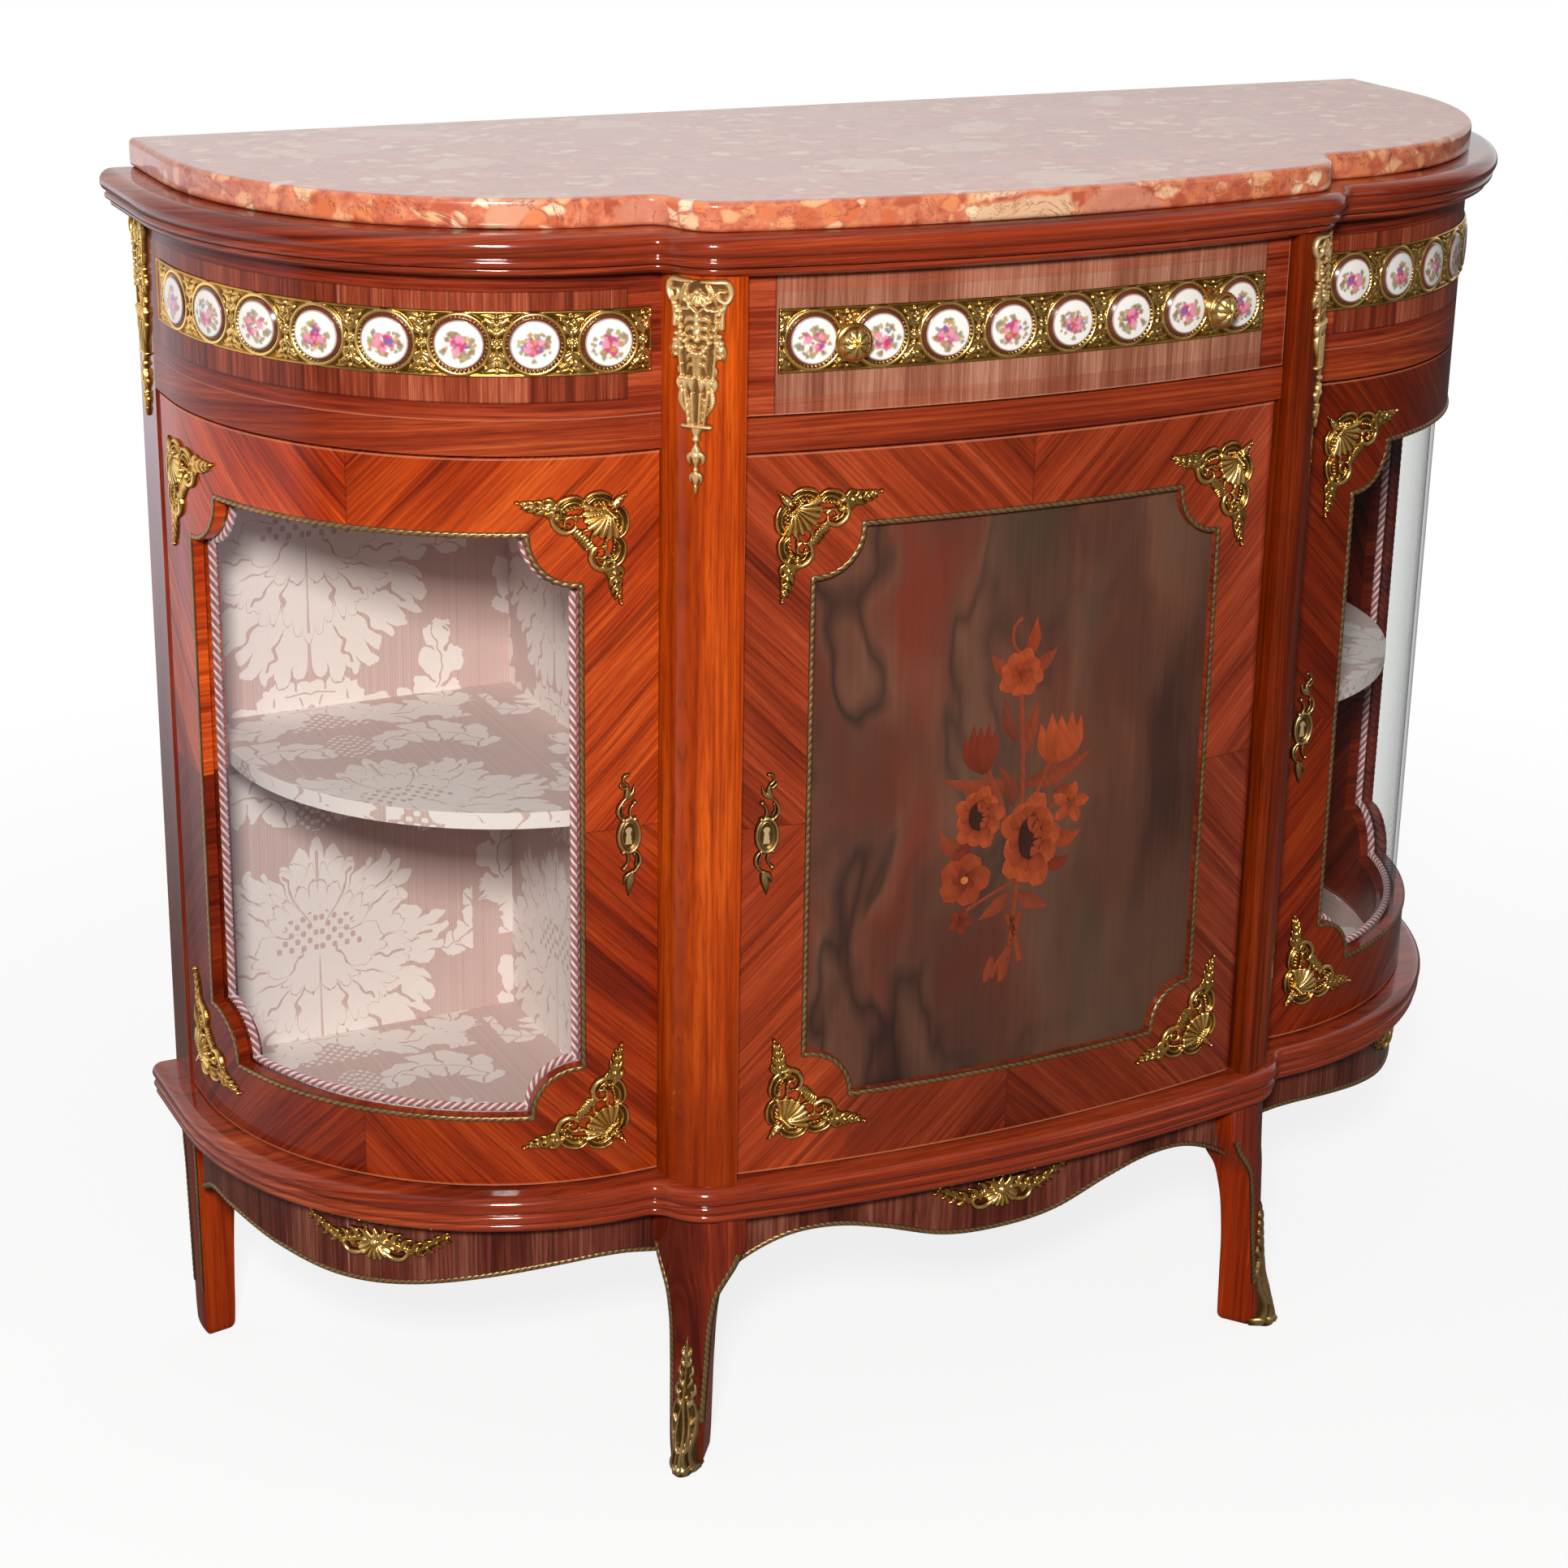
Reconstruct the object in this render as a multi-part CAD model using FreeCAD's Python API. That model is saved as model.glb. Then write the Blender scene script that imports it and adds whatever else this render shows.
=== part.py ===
import FreeCAD
import Part

import math
import os

# Demilune sideboard, all lengths in millimetres.
# Plan points are given as x (zero in the middle) and depth (from the back towards the front).
# The front of the piece faces minus Y, the floor is at z zero.

# Overall sizes
total_height = 930.0
carcase_half_width = 518.0
wing_radius = 245.0
wing_centre_depth = 75.0
bow_radius = 1227.0
bow_front_depth = 372.5

# Heights
marble_thickness = 20.0
cornice_height = 28.0
moulding_height = 28.0
leg_height = 200.0
frieze_height = 97.0
rail_thickness = 23.5
shelf_height_share = 0.51
door_foot_gap = 2.0
door_head_gap = 1.5
drawer_face_gap = 1.5

# Thicknesses
door_thickness = 22.0
panel_thickness = 16.0
back_thickness = 8.0
sheet_thickness = 1.5
shelf_thickness = 12.0
glass_thickness = 3.0
drawer_side_thickness = 10.0
drawer_bottom_thickness = 5.0
edging_width = 4.0
edging_thickness = 1.2
mount_thickness = 3.0
drop_mount_thickness = 5.0
band_thickness = 2.0
plaque_thickness = 3.0

# Pilasters and back stiles
pilaster_radius = 38.0
pilaster_inner_x = 215.0
pilaster_flat = 4.0
pilaster_proud = 10.4
pilaster_block_depth = 36.0
stile_width = 37.0
stile_thickness = 30.0
partition_setback = 14.0

# Cornice and base moulding plan
cornice_projection = 22.0
base_projection = 19.0
marble_wing_offset = 0.0
marble_bow_offset = 10.0
corner_setout = 2.0
cornice_corner_radius = 49.0
base_corner_radius = 46.0
marble_corner_radius = 36.0
cove_radius = 15.0
cornice_inset = 40.0
base_inset = 36.0
marble_edge_round = 4.0

# Clearances
door_side_gap = 1.0
bolt_clearance = 0.5
pin_clearance = 0.3
drawer_side_gap = 1.0
shelf_door_clearance = 10.0

# Openings in the doors
wing_opening_front_angle = 80.2
wing_opening_back_angle = 7.5
door_rail_height = 54.0
centre_door_stile_width = 53.0
notch_radius = 36.0
rebate_width = 8.0
glass_setback = 8.0
panel_setback = 5.0
panel_sheet_thickness = 6.0
rope_diameter = 6.0
rope_overlap = 2.0

# Locks
lock_case_width = 36.0
lock_case_height = 56.0
lock_case_edge = 4.0
lock_case_setback = 8.0
lock_height_share = 0.49
bolt_thickness = 5.0
bolt_height = 14.0
bolt_length = 30.0
bolt_travel = 8.0
wing_bolt_setback = 15.0
centre_bolt_setback = 10.8
mortise_end_gap = 2.0

# Pivots
pivot_pin_radius = 3.0
pivot_pin_length = 11.0
pivot_hole_extra = 2.0

# Gilt ornaments
band_height = 43.0
band_rise = 29.5
band_front_margin = 7.0
band_back_margin = 23.0
centre_band_margin = 23.0
plaque_radius = 16.0
plaque_clearance = 0.3
plaque_first_angle = 5.0
plaque_angle_step = 11.3
plaque_count = 8
knob_radius = 12.5
knob_neck_radius = 6.0
knob_base_radius = 9.0
knob_base_length = 3.0
knob_neck_length = 9.0
knob_length = 22.0
corner_mount_width = 75.0
corner_mount_height = 79.0
corner_mount_margin_z = 24.0
wing_mount_front_margin = 22.0
wing_mount_back_margin = 17.0
centre_mount_margin = 23.0
escutcheon_height = 89.0
escutcheon_width = 34.0
escutcheon_wing_margin = 22.0
escutcheon_centre_margin = 21.0
keyhole_radius = 3.0
keyhole_length = 9.0
drop_mount_height = 142.0
drop_mount_width = 34.0
drop_mount_head_gap = 2.0
drop_mount_tip_width = 8.0
stile_drop_width = 26.0
apron_mount_width = 112.0
apron_mount_height = 20.0
apron_mount_drop = 25.0
centre_apron_mount_drop = 22.0
sabot_height = 108.0
sabot_width = 24.0
sabot_thickness = 2.5
sabot_seat_gap = 0.1

# Drawer box
drawer_running_gap = 0.2
drawer_side_height = 82.0
drawer_box_back_depth = 40.0
drawer_groove_rise = 8.0
drawer_front_inset = 20.0

# Legs from the floor up, as shares of the leg height and of each leg's own sizes
front_leg_width = 72.0
front_leg_thickness = 46.0
front_leg_bulge = 17.0
back_leg_width = 34.5
back_leg_thickness = 34.0
back_leg_bulge = 1.0
leg_level_shares = (0.0, 0.07, 0.225, 0.425, 0.625, 0.715, 0.76, 0.81, 0.88, 1.0)
front_width_shares = (0.27, 0.33, 0.39, 0.43, 0.50, 0.60, 0.72, 0.86, 0.985, 1.0)
front_reach_shares = (1.53, 1.50, 1.25, 1.13, 1.08, 1.053, 1.026, 1.013, 1.0, 0.987)
front_thickness_shares = (0.70, 0.74, 0.65, 0.64, 0.70, 0.78, 0.86, 0.93, 0.98, 1.0)
front_bulge_shares = (0.24, 0.29, 0.29, 0.29, 0.32, 0.38, 0.53, 0.765, 0.94, 1.0)
back_width_shares = (0.64, 0.75, 0.78, 0.84, 0.90, 0.93, 0.96, 0.985, 1.0, 1.0)
back_reach_shares = (0.992, 0.993, 0.994, 0.995, 0.996, 0.9965, 0.997, 0.9975, 0.998, 0.9981)
back_thickness_shares = (0.72, 0.74, 0.76, 0.79, 0.85, 0.88, 0.91, 0.94, 0.97, 1.0)
leg_edging_bottom_share = 0.2
leg_edging_top_share = 0.86

# Apron lower edges, as shares of the leg height: across the wing's diagonal and across the bow
wing_across_shares = (-0.76, -0.673, -0.522, -0.306, -0.082, 0.122, 0.347, 0.571, 0.702, 0.76)
wing_lower_shares = (0.80, 0.825, 0.815, 0.77, 0.725, 0.7125, 0.745, 0.78, 0.765, 0.71)
bow_across_shares = (0.0, 0.2326, 0.428, 0.651, 0.814, 0.9535, 1.079)
bow_lower_shares = (0.74, 0.7625, 0.83, 0.88, 0.865, 0.80, 0.70)
apron_thickness = 20.0
apron_face_setback = 2.0
apron_tool_depth = 420.0

# Derived sizes
wing_centre_x = carcase_half_width - wing_radius
wing_front_depth = wing_centre_depth + wing_radius
bow_centre_depth = bow_front_depth - bow_radius
bow_edge_depth = bow_centre_depth + math.sqrt(bow_radius ** 2 - pilaster_inner_x ** 2)
pilaster_centre_x = pilaster_inner_x + pilaster_flat
pilaster_centre_depth = bow_edge_depth + pilaster_proud - pilaster_radius
pilaster_back_depth = pilaster_centre_depth - pilaster_block_depth
pilaster_outer_x = pilaster_centre_x + pilaster_radius
corner_centre_x = pilaster_centre_x + corner_setout
top_z = total_height - marble_thickness
cornice_z = top_z - cornice_height
floor_z = leg_height + moulding_height
rail_top_z = cornice_z - frieze_height
rail_bottom_z = rail_top_z - rail_thickness
shelf_top_z = floor_z + (rail_bottom_z - floor_z) * shelf_height_share
door_bottom_z = floor_z + door_foot_gap
door_top_z = rail_bottom_z - door_head_gap
opening_bottom_z = door_bottom_z + door_rail_height
opening_top_z = door_top_z - door_rail_height
lock_z = door_bottom_z + (door_top_z - door_bottom_z) * lock_height_share
drawer_bottom_z = rail_top_z + drawer_face_gap
drawer_top_z = cornice_z - drawer_face_gap
total_depth = bow_front_depth + cornice_projection
back_y = total_depth / 2
door_edge_x = pilaster_outer_x + door_side_gap
pivot_setin = door_thickness / 2
wing_pivot_x = carcase_half_width - pivot_setin
wing_pivot_depth = stile_width + door_side_gap + pivot_setin
wing_bolt_depth = wing_front_depth - wing_bolt_setback
centre_bolt_depth = bow_edge_depth - centre_bolt_setback
drawer_box_half_width = pilaster_inner_x - drawer_side_gap
drawer_box_bottom_z = rail_top_z + drawer_running_gap
drawer_box_top_z = drawer_box_bottom_z + drawer_side_height
centre_door_half_width = pilaster_inner_x - door_side_gap
centre_opening_half_width = centre_door_half_width - centre_door_stile_width
centre_pivot_x = centre_door_half_width - pivot_setin
partition_inner_x = pilaster_inner_x + partition_setback
partition_outer_x = partition_inner_x + panel_thickness
band_bottom_z = rail_top_z + band_rise
band_top_z = band_bottom_z + band_height
plaque_z = (band_bottom_z + band_top_z) / 2
knob_z = plaque_z
plaque_hole_radius = plaque_radius + plaque_clearance
centre_band_half_width = centre_door_half_width - centre_band_margin
centre_plaque_spacing = 2 * centre_band_half_width / plaque_count
knob_x = centre_plaque_spacing * (plaque_count / 2 - 1)
band_front_x = pilaster_outer_x + band_front_margin
band_back_depth = stile_width + band_back_margin
wing_mount_front_x = door_edge_x + wing_mount_front_margin
wing_mount_back_depth = wing_pivot_depth + wing_mount_back_margin
centre_mount_x = centre_door_half_width - centre_mount_margin
escutcheon_wing_x = door_edge_x + escutcheon_wing_margin
escutcheon_centre_x = centre_door_half_width - escutcheon_centre_margin
drop_mount_top_z = cornice_z - drop_mount_head_gap
apron_mount_z = leg_height - apron_mount_drop
centre_apron_mount_z = leg_height - centre_apron_mount_drop
leg_levels = [share * leg_height for share in leg_level_shares]
front_leg_widths = [share * front_leg_width for share in front_width_shares]
front_leg_reaches = [share * pilaster_radius for share in front_reach_shares]
front_leg_thicknesses = [share * front_leg_thickness for share in front_thickness_shares]
front_leg_bulges = [share * front_leg_bulge for share in front_bulge_shares]
back_leg_widths = [share * back_leg_width for share in back_width_shares]
back_leg_reaches = [share * carcase_half_width for share in back_reach_shares]
back_leg_thicknesses = [share * back_leg_thickness for share in back_thickness_shares]
back_leg_bulges = [back_leg_bulge for share in leg_level_shares]
leg_edging_bottom_z = leg_height * leg_edging_bottom_share
leg_edging_top_z = leg_height * leg_edging_top_share
wing_apron_across = [share * wing_radius for share in wing_across_shares]
wing_apron_lower = [share * leg_height for share in wing_lower_shares]
bow_apron_across = [share * pilaster_inner_x for share in bow_across_shares]
bow_apron_lower = [share * leg_height for share in bow_lower_shares]
stile_inner_x = carcase_half_width - stile_thickness


def at(x, depth, z):
    return FreeCAD.Vector(x, back_y - depth, z)


def mirrored(shape):
    return shape.mirror(FreeCAD.Vector(0, 0, 0), FreeCAD.Vector(1, 0, 0))


def box(x0, x1, d0, d1, z0, z1):
    corner = at(min(x0, x1), max(d0, d1), min(z0, z1))
    return Part.makeBox(abs(x1 - x0), abs(d1 - d0), abs(z1 - z0), corner)


def post(x, depth, radius, z0, z1):
    return Part.makeCylinder(radius, z1 - z0, at(x, depth, z0))


def around(cx, cd, radius, angle, z):
    # Angle zero points to plus x, ninety degrees to the front
    turn = math.radians(angle)
    return at(cx + radius * math.cos(turn), cd + radius * math.sin(turn), z)


def outward(angle):
    turn = math.radians(angle)
    return FreeCAD.Vector(math.cos(turn), -math.sin(turn), 0)


def loop(points):
    return Part.Wire(Part.makePolygon(list(points) + [points[0]]).Edges)


def turned(section, cx, cd, turn):
    way = -1 if turn > 0 else 1
    return section.revolve(at(cx, cd, 0), FreeCAD.Vector(0, 0, way), abs(turn))


def sector(cx, cd, r0, r1, a0, a1, z0, z1):
    section = Part.Face(loop([around(cx, cd, r, a0, z) for r, z in ((r0, z0), (r1, z0), (r1, z1), (r0, z1))]))
    return turned(section, cx, cd, a1 - a0)


def bow_depth(x, offset):
    radius = bow_radius + offset
    return bow_centre_depth + math.sqrt(radius * radius - x * x)


def bow_angle(x):
    return 90 - math.degrees(math.asin(x / bow_radius))


def bow_shell(offset_in, offset_out, x0, x1, z0, z1):
    inner = bow_radius + offset_in
    outer = bow_radius + offset_out
    margin = math.degrees(door_thickness / bow_radius)
    ring = sector(0, bow_centre_depth, inner, outer, bow_angle(x1) - margin, bow_angle(x0) + margin, z0, z1)
    return ring.common(box(x0, x1, 0, total_depth, z0, z1))


def wing_region(offset, x_in, d_back, z0, z1):
    side_x = carcase_half_width + offset
    radius = wing_radius + offset
    a = at(x_in, d_back, z0)
    b = at(side_x, d_back, z0)
    c = at(side_x, wing_centre_depth, z0)
    mid = around(wing_centre_x, wing_centre_depth, radius, 45, z0)
    d = at(wing_centre_x, wing_centre_depth + radius, z0)
    e = at(x_in, wing_centre_depth + radius, z0)
    edges = [Part.makeLine(a, b), Part.makeLine(b, c), Part.Arc(c, mid, d).toShape()]
    if abs(x_in - wing_centre_x) > 0:
        edges.append(Part.makeLine(d, e))
    edges.append(Part.makeLine(e, a))
    return Part.Face(Part.Wire(edges)).extrude(FreeCAD.Vector(0, 0, z1 - z0))


def wing_shell(offset_in, offset_out, x_in, d_back, z0, z1):
    outer = wing_region(offset_out, x_in, d_back, z0, z1)
    inner = wing_region(offset_in, 0, -total_depth, z0, z1)
    return outer.cut(inner)


def meet(c0, r0, c1, r1):
    # The meeting point, nearer the front, of two circles in plan
    dx = c1[0] - c0[0]
    dd = c1[1] - c0[1]
    span = math.hypot(dx, dd)
    along = (r0 * r0 - r1 * r1 + span * span) / (2 * span)
    across = math.sqrt(r0 * r0 - along * along)
    first = (c0[0] + (along * dx - across * dd) / span, c0[1] + (along * dd + across * dx) / span)
    second = (c0[0] + (along * dx + across * dd) / span, c0[1] + (along * dd - across * dx) / span)
    return first if first[1] > second[1] else second


def heading(c0, c1):
    return math.degrees(math.atan2(c1[1] - c0[1], c1[0] - c0[0]))


def outline(wing_offset, bow_offset, corner_radius):
    # Segments of the right half: bow, rounded corner, cove and wing, then the straight side
    wing = (wing_centre_x, wing_centre_depth)
    bow = (0, bow_centre_depth)
    r_wing = wing_radius + wing_offset
    r_bow = bow_radius + bow_offset
    reach = r_bow - corner_radius
    corner = (corner_centre_x, bow_centre_depth + math.sqrt(reach ** 2 - corner_centre_x ** 2))
    cove = meet(corner, corner_radius + cove_radius, wing, r_wing + cove_radius)
    a_join = heading(bow, corner)
    a_corner = heading(corner, cove)
    a_cove = heading(cove, wing)
    return [
        (bow, r_bow, 90, a_join, 1),
        (corner, corner_radius, a_join, a_corner, 1),
        (cove, cove_radius, a_corner + 180, a_cove + 360, -1),
        (wing, r_wing, a_cove + 180, 0, 1),
    ]


def outline_face(path, inset, z):
    half = []
    for centre, radius, a0, a1, sense in path:
        r = radius - sense * inset
        ends = [around(centre[0], centre[1], r, a, z) for a in (a0, (a0 + a1) / 2, a1)]
        half.append(Part.Arc(ends[0], ends[1], ends[2]).toShape())
    side_x = wing_centre_x + path[-1][1] - inset
    half.append(Part.makeLine(at(side_x, wing_centre_depth, z), at(side_x, 0, z)))
    other = [mirrored(edge) for edge in half]
    back = Part.makeLine(at(side_x, 0, z), at(-side_x, 0, z))
    wire = Part.Wire(Part.__sortEdges__(half + [back] + other))
    return Part.Face(wire)


def swept(path, profile):
    # The profile holds pairs of inset from the outer edge and height
    solids = []
    for centre, radius, a0, a1, sense in path:
        corners = [around(centre[0], centre[1], radius - sense * t, a0, z) for t, z in profile]
        section = Part.Face(loop(corners))
        solids.append(turned(section, centre[0], centre[1], a1 - a0))
    side_x = wing_centre_x + path[-1][1]
    corners = [at(side_x - t, 0, z) for t, z in profile]
    solids.append(Part.Face(loop(corners)).extrude(FreeCAD.Vector(0, -wing_centre_depth, 0)))
    both = solids + [mirrored(s) for s in solids]
    return both[0].multiFuse(both[1:]).removeSplitter()


def rounded_profile(height, z0, beads, depth, undercut):
    # A hollow top, then beads, then an undercut, as insets and heights
    points = [(depth, z0 + height)]
    cap = height / 3
    steps = 6
    for i in range(steps + 1):
        turn = math.pi / 2 * i / steps
        points.append((cap * (1 - math.sin(turn)), z0 + height - cap * (1 - math.cos(turn))))
    bead = (height - cap) / (beads + 1)
    level = z0 + height - cap
    for k in range(beads):
        for i in range(1, steps + 1):
            turn = math.pi * i / steps
            swell = bead / 3 * math.sin(turn)
            points.append((bead / 3 + undercut * k / beads - swell, level - bead * (1 - math.cos(turn)) / 2))
        level = level - bead
    points.append((undercut, z0))
    points.append((depth, z0))
    return points


def notched(tool, corners, grow, angle_of):
    # An opening tool less a round block at each corner
    for x, d, z in corners:
        direction = outward(angle_of(x, d))
        start = at(x, d, z) - direction * (2 * door_thickness)
        tool = tool.cut(Part.makeCylinder(notch_radius - grow, 4 * door_thickness, start, direction))
    return tool


def wing_opening(offset_in, offset_out, grow):
    spread = math.degrees(grow / wing_radius)
    ring = sector(wing_centre_x, wing_centre_depth, wing_radius + offset_in, wing_radius + offset_out,
                  wing_opening_back_angle - spread, wing_opening_front_angle + spread,
                  opening_bottom_z - grow, opening_top_z + grow)
    corners = []
    for angle in (wing_opening_back_angle, wing_opening_front_angle):
        turn = math.radians(angle)
        x = wing_centre_x + wing_radius * math.cos(turn)
        d = wing_centre_depth + wing_radius * math.sin(turn)
        corners.extend([(x, d, opening_bottom_z), (x, d, opening_top_z)])

    def facing(x, d):
        return math.degrees(math.atan2(d - wing_centre_depth, x - wing_centre_x))

    return notched(ring, corners, grow, facing)


def centre_opening(offset_in, offset_out, grow):
    half = centre_opening_half_width + grow
    ring = bow_shell(offset_in, offset_out, -half, half, opening_bottom_z - grow, opening_top_z + grow)
    corners = []
    for x in (-centre_opening_half_width, centre_opening_half_width):
        for z in (opening_bottom_z, opening_top_z):
            corners.append((x, bow_depth(x, 0), z))

    def facing(x, d):
        return bow_angle(x)

    return notched(ring, corners, grow, facing)


def plate(points, origin, direction, thickness):
    # A flat plate from points across and up, centred on the origin and facing the direction
    across = FreeCAD.Vector(-direction.y, direction.x, 0)
    place = [origin + across * a + FreeCAD.Vector(0, 0, b) - direction * thickness for a, b in points]
    return Part.Face(loop(place)).extrude(direction * (2 * thickness))


def corner_shape(width, height, flip_x, flip_z):
    # Scrolled corner mount: two slender arms from a broad shell
    outline_shares = ((0.02, 0.1), (0.1, 0.02), (0.24, 0.0), (0.45, 0.05), (0.68, 0.01), (1.0, 0.02),
                      (0.92, 0.1), (0.66, 0.14), (0.52, 0.24), (0.44, 0.38), (0.32, 0.47), (0.2, 0.56),
                      (0.15, 0.72), (0.08, 1.0), (0.0, 0.86), (0.05, 0.62), (0.0, 0.42), (0.03, 0.24))
    return [(flip_x * sx * width, flip_z * sz * height) for sx, sz in outline_shares]


def holes(points_at, origin, direction, radius, thickness):
    across = FreeCAD.Vector(-direction.y, direction.x, 0)
    result = []
    for a, b in points_at:
        start = origin + across * a + FreeCAD.Vector(0, 0, b) - direction * thickness
        result.append(Part.makeCylinder(radius, 2 * thickness, start, direction))
    return result


def cartouche(width, height):
    shares = ((0.0, 1.0), (0.25, 0.84), (0.2, 0.66), (0.7, 0.52), (1.0, 0.3), (0.78, 0.1), (0.84, -0.12),
              (1.0, -0.34), (0.66, -0.54), (0.24, -0.66), (0.28, -0.84), (0.0, -1.0))
    right = [(sx * width / 2, sz * height / 2) for sx, sz in shares]
    left = [(-a, b) for a, b in reversed(right[1:-1])]
    return right + left


def drop_shape(width, height, tip):
    shares = ((0.5, 1.0), (1.0, 0.93), (0.86, 0.82), (1.0, 0.7), (0.62, 0.6), (0.55, 0.3), (0.3, 0.22), (0.3, 0.1))
    right = [(sx * width / 2, (sz - 1) * height) for sx, sz in shares]
    right.append((tip / 4, -height))
    left = [(-a, b) for a, b in reversed(right)]
    return right + left


def apron_mount_shape(width, height):
    shares = ((0.0, 0.5), (0.1, 0.62), (0.3, 0.4), (0.6, 0.6), (0.8, 0.85), (1.0, 0.9), (0.9, 0.6), (0.62, 0.2),
              (0.35, -0.1), (0.14, -0.3), (0.0, -1.0))
    right = [(sx * width / 2, sz * height) for sx, sz in shares]
    left = [(-a, b) for a, b in reversed(right[1:-1])]
    return right + left


def leaf_shape(width, height):
    shares = ((0.5, 0.0), (0.9, 0.12), (1.0, 0.34), (0.86, 0.55), (0.6, 0.66), (0.46, 0.76), (0.3, 0.9))
    right = [(sx * width / 2, sz * height) for sx, sz in shares]
    left = [(-a, b) for a, b in reversed(right)]
    return right + [(0, height)] + left


def leg_solid(origin_x, origin_depth, angle, widths, reach, thickness, bulge):
    # Sections from the floor up, each with a rounded outer side
    direction = outward(angle)
    across = FreeCAD.Vector(-direction.y, direction.x, 0)
    wires = []
    for z, w, r, t, b in zip(leg_levels, widths, reach, thickness, bulge):
        base = at(origin_x, origin_depth, z)
        left = base + direction * (r - b) - across * (w / 2)
        right = base + direction * (r - b) + across * (w / 2)
        front = base + direction * r
        back_right = base + direction * (r - t) + across * (w / 3)
        back_left = base + direction * (r - t) - across * (w / 3)
        wires.append(Part.Wire([Part.Arc(left, front, right).toShape(), Part.makeLine(right, back_right),
                                Part.makeLine(back_right, back_left), Part.makeLine(back_left, left)]))
    return Part.makeLoft(wires, True, False)


def leg_band(widths, z0, z1, trim, origin, direction, reach):
    # A block as wide as the leg less a trim on each side, between two heights
    levels = [z for z in leg_levels if z0 < z < z1]
    rows = [z0] + levels + [z1]

    def width_at(z):
        for i in range(len(leg_levels) - 1):
            if leg_levels[i] <= z <= leg_levels[i + 1]:
                share = (z - leg_levels[i]) / (leg_levels[i + 1] - leg_levels[i])
                return widths[i] + share * (widths[i + 1] - widths[i])
        return widths[-1]

    right = [(width_at(z) / 2 - trim, z) for z in rows]
    left = [(-a, b) for a, b in reversed(right)]
    return plate(right + left, origin, direction, reach)


def spline_block(across, lower, top, shift, origin, direction, reach):
    # A block above a smooth lower edge, pushed through the piece along the direction
    side = FreeCAD.Vector(-direction.y, direction.x, 0)
    start = origin - direction * reach
    points = [start + side * a + FreeCAD.Vector(0, 0, b + shift) for a, b in zip(across, lower)]
    curve = Part.BSplineCurve()
    curve.interpolate(points)
    up_left = start + side * across[0] + FreeCAD.Vector(0, 0, top)
    up_right = start + side * across[-1] + FreeCAD.Vector(0, 0, top)
    edges = [curve.toShape(), Part.makeLine(points[-1], up_right), Part.makeLine(up_right, up_left),
             Part.makeLine(up_left, points[0])]
    return Part.Face(Part.Wire(edges)).extrude(direction * (2 * reach))


nodes = {}


def keep(name, shape):
    nodes[name] = shape


def group(shapes):
    flat = []
    for shape in shapes:
        flat.extend(shape.Solids)
    return flat[0] if len(flat) == 1 else Part.makeCompound(flat)


def both_sides(shapes):
    return group(list(shapes) + [mirrored(s) for s in shapes])


# Marble, cornice, base moulding and their boards
marble_path = outline(marble_wing_offset, marble_bow_offset, marble_corner_radius)
marble = outline_face(marble_path, 0, top_z).extrude(FreeCAD.Vector(0, 0, marble_thickness))
rim = [e for e in marble.Edges if abs(e.BoundBox.ZLength) < marble_edge_round / 100]
rim = [e for e in rim if e.BoundBox.YMin < back_y - marble_edge_round / 100]
marble = marble.makeFillet(marble_edge_round, rim)
keep("marble_top", marble)

cornice_path = outline(cornice_projection, cornice_projection, cornice_corner_radius)
base_path = outline(base_projection, base_projection, base_corner_radius)
keep("cornice", swept(cornice_path, rounded_profile(cornice_height, cornice_z, 3, cornice_inset, cornice_projection / 2)))
keep("base_moulding", swept(base_path, rounded_profile(moulding_height, leg_height, 3, base_inset, base_projection / 4)))
keep("top_board", outline_face(cornice_path, cornice_inset, cornice_z).extrude(FreeCAD.Vector(0, 0, cornice_height)))
keep("bottom_board", outline_face(base_path, base_inset, leg_height).extrude(FreeCAD.Vector(0, 0, moulding_height)))

# Pilasters, stiles, partitions and back
pilaster = post(pilaster_centre_x, pilaster_centre_depth, pilaster_radius, floor_z, cornice_z)
pilaster = pilaster.fuse(box(pilaster_inner_x, pilaster_outer_x, pilaster_back_depth, pilaster_centre_depth, floor_z, cornice_z))
pilaster = pilaster.common(box(pilaster_inner_x, pilaster_outer_x, pilaster_back_depth, total_depth, floor_z, cornice_z))
pilaster = pilaster.removeSplitter()
stile = box(stile_inner_x, carcase_half_width, 0, stile_width, floor_z, cornice_z)
partition = box(partition_inner_x, partition_outer_x, back_thickness, pilaster_back_depth, floor_z, cornice_z)
pilaster_block = pilaster.copy()

half_bolt_height = bolt_height / 2 + bolt_clearance
half_bolt_thickness = bolt_thickness / 2 + bolt_clearance
mortise_depth = bolt_travel + mortise_end_gap
wing_mortise = box(pilaster_outer_x - mortise_depth, pilaster_outer_x, wing_bolt_depth - half_bolt_thickness,
                   wing_bolt_depth + half_bolt_thickness, lock_z - half_bolt_height, lock_z + half_bolt_height)
centre_mortise = box(-pilaster_inner_x - mortise_depth, -pilaster_inner_x, centre_bolt_depth - half_bolt_thickness,
                     centre_bolt_depth + half_bolt_thickness, lock_z - half_bolt_height, lock_z + half_bolt_height)
keep("pilaster_right", pilaster.cut(wing_mortise))
keep("pilaster_left", mirrored(pilaster.cut(wing_mortise)).cut(centre_mortise))
keep("stile_right", stile)
keep("stile_left", mirrored(stile))
keep("partition_right", partition)
keep("partition_left", mirrored(partition))
keep("back_panel", box(-stile_inner_x, stile_inner_x, 0, back_thickness, floor_z, cornice_z))

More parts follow.
